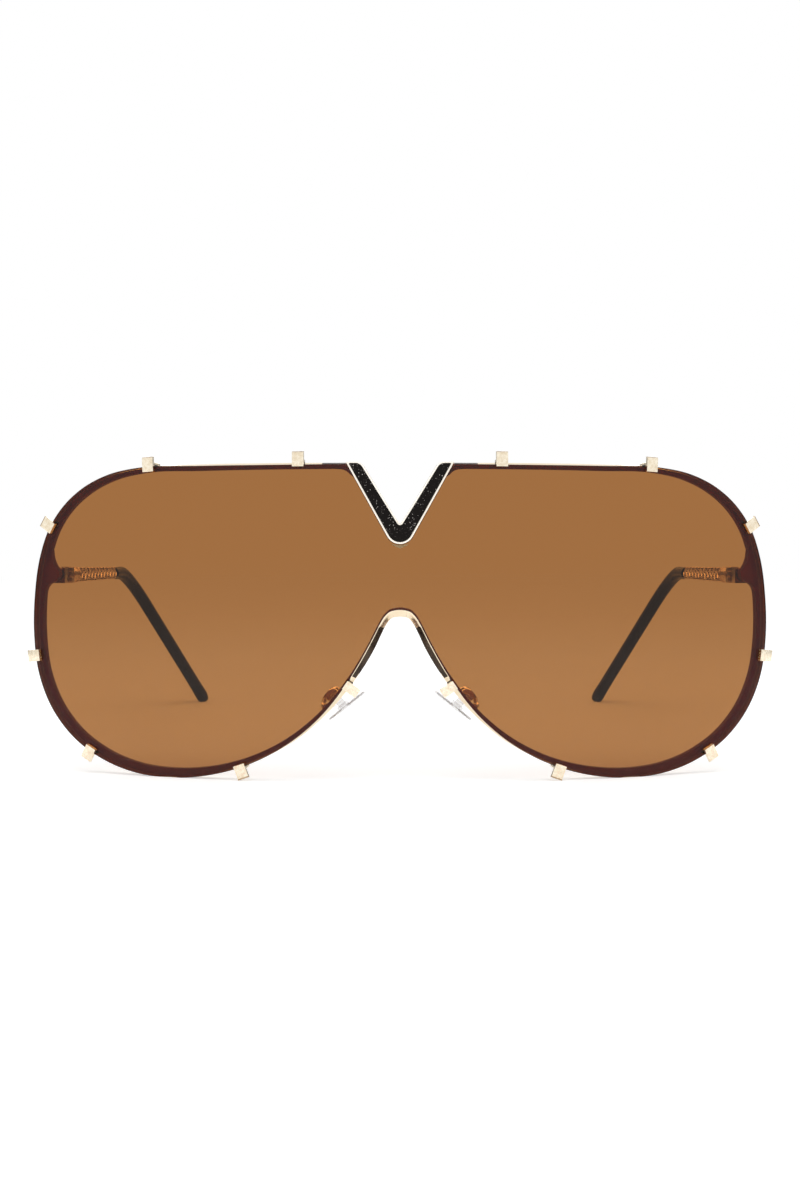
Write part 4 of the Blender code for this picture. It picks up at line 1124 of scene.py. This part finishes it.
for side, name in ((1, "left"), (-1, "right")):
    node = f"pad_arm_{name}"
    arm = rounded_box(softened(node, 0.06), side)
    finished(f"{node}_bent", arm, [pad_gold], "front", [node], 45)
    node = f"pad_screw_{name}"
    finished(f"{node}_slotted", softened(node, 0.03), [pad_gold], "front", [node], 35)


# Nose pads: clear silicone cushions moulded over a thin frosted insert, which has a rim, ribs that fan out
# from the middle, and the stem that sits in the box.

PAD_LENGTH = 12.2
PAD_WIDTH = 6.0
PAD_THICKNESS = 2.1
PAD_STANDOFF = 2.9
STEM_WIDTH = 1.6
STEM_THICKNESS = 0.8
HUB_SIZE = (0.9, 1.7, 2.4)
INSERT_DEPTH = 0.45
INSERT_RISE = 0.6
INSERT_HALF = (2.0, 4.7)
RIB_HALF = (1.9, 4.6)
INSERT_WIRE = 0.2
RIB_WIRE = 0.1


def cushion():
    """The pad's body: a ball drawn out to the oval, flatter on both faces, fuller towards the nose."""
    solid = bmesh.new()
    bmesh.ops.create_uvsphere(solid, u_segments=56, v_segments=28, radius=1.0)
    for corner in solid.verts:
        x, y, z = corner.co
        depth = abs(z) ** 0.62 * (PAD_THICKNESS / 2)
        edge_share = sqrt(max(0.0, 1 - min(1.0, abs(z)) ** 2.6))
        ring = hypot(x, y)
        if ring > 1e-6:
            x, y = x / ring * edge_share, y / ring * edge_share
        out = -PAD_STANDOFF - depth if z > 0 else -PAD_STANDOFF + depth
        corner.co = (out, x * PAD_WIDTH / 2, y * PAD_LENGTH / 2)
    return solid


def insert():
    """The frosted insert near the pad's outer face: a rim wire, fan ribs, a hub and the stem."""
    layer = -PAD_STANDOFF - INSERT_DEPTH
    wide, tall = INSERT_HALF
    around = [(layer, wide * sin(a), INSERT_RISE + tall * cos(a)) for a in np.arange(48) * 2 * pi / 48]
    parts = [wire(around, INSERT_WIRE, True)]
    for spoke in range(-3, 4):
        reach = spoke * 0.42
        for end in (1, -1):
            near = (layer, 0.18 * spoke, end * 0.8)
            tip = (layer, RIB_HALF[0] * sin(reach), INSERT_RISE + end * RIB_HALF[1] * cos(reach))
            parts.append(wire([near, tip], RIB_WIRE))
    hub = bmesh.new()
    bmesh.ops.create_cube(hub, size=1.0)
    bmesh.ops.scale(hub, vec=HUB_SIZE, verts=hub.verts)
    bmesh.ops.translate(hub, vec=(-PAD_STANDOFF, 0, 0), verts=hub.verts)
    parts.append(rounded(hub, hub.edges[:], 0.2))
    half, deep = STEM_WIDTH / 2, STEM_THICKNESS / 2
    tab = [(-PAD_STANDOFF, half), (-PAD_STANDOFF, -half)]
    tab += [(half * cos(a), half * sin(a)) for a in np.linspace(-pi / 2, pi / 2, 15)]
    stem = stacked(tab, [(0.08, -deep), (0, 0.08 - deep), (0, deep - 0.08), (0.08, deep)])
    lay = Matrix(((1, 0, 0, 0), (0, 0, 1, 0), (0, 1, 0, 0), (0, 0, 0, 1)))
    bmesh.ops.transform(stem, matrix=lay, verts=stem.verts)
    parts.append(stem)
    return joined(parts)


silicone, tree, shader, add = new_material("clear_silicone")
where = add("TexCoord")
haze = add("TexNoise", Vector=where.outputs["Object"], Scale=700.0, Detail=3.0)
rim_light = add("LayerWeight", Blend=0.35)
body_share = add("MapRange", Value=rim_light.outputs["Facing"], From_Min=0.55, To_Min=0.01, To_Max=0.34)
hazy = add("Math", {"operation": "MULTIPLY_ADD"}, i0=haze.outputs["Fac"], i1=0.03)
tree.links.new(body_share.outputs["Result"], hazy.inputs[2])
tree.links.new(hazy.outputs[0], shader.inputs["Alpha"])
shader.inputs["Base Color"].default_value = (0.88, 0.89, 0.91, 1.0)
shader.inputs["Roughness"].default_value = 0.12
soft = add("Bump", Strength=0.10, Distance=0.00008, Height=haze.outputs["Fac"])
tree.links.new(soft.outputs["Normal"], shader.inputs["Normal"])

frosted, tree, shader, add, grain = mottled("frosted_insert", (0.88, 0.89, 0.92), (0.95, 0.95, 0.96), 2500.0)
shader.inputs["Roughness"].default_value = 0.35
opacity = add("MapRange", Value=grain, To_Min=0.16, To_Max=0.28)
tree.links.new(opacity.outputs["Result"], shader.inputs["Alpha"])
for side, name in ((1, "left"), (-1, "right")):
    solid = placed(cushion(), to_pad, side)
    finished(f"nose_cushion_{name}", solid, [silicone], f"{name}_pad", [f"nose_pad_{name}"])
    solid = placed(insert(), to_pad, side)
    finished(f"pad_insert_{name}", solid, [frosted], f"{name}_pad", sharp=45)
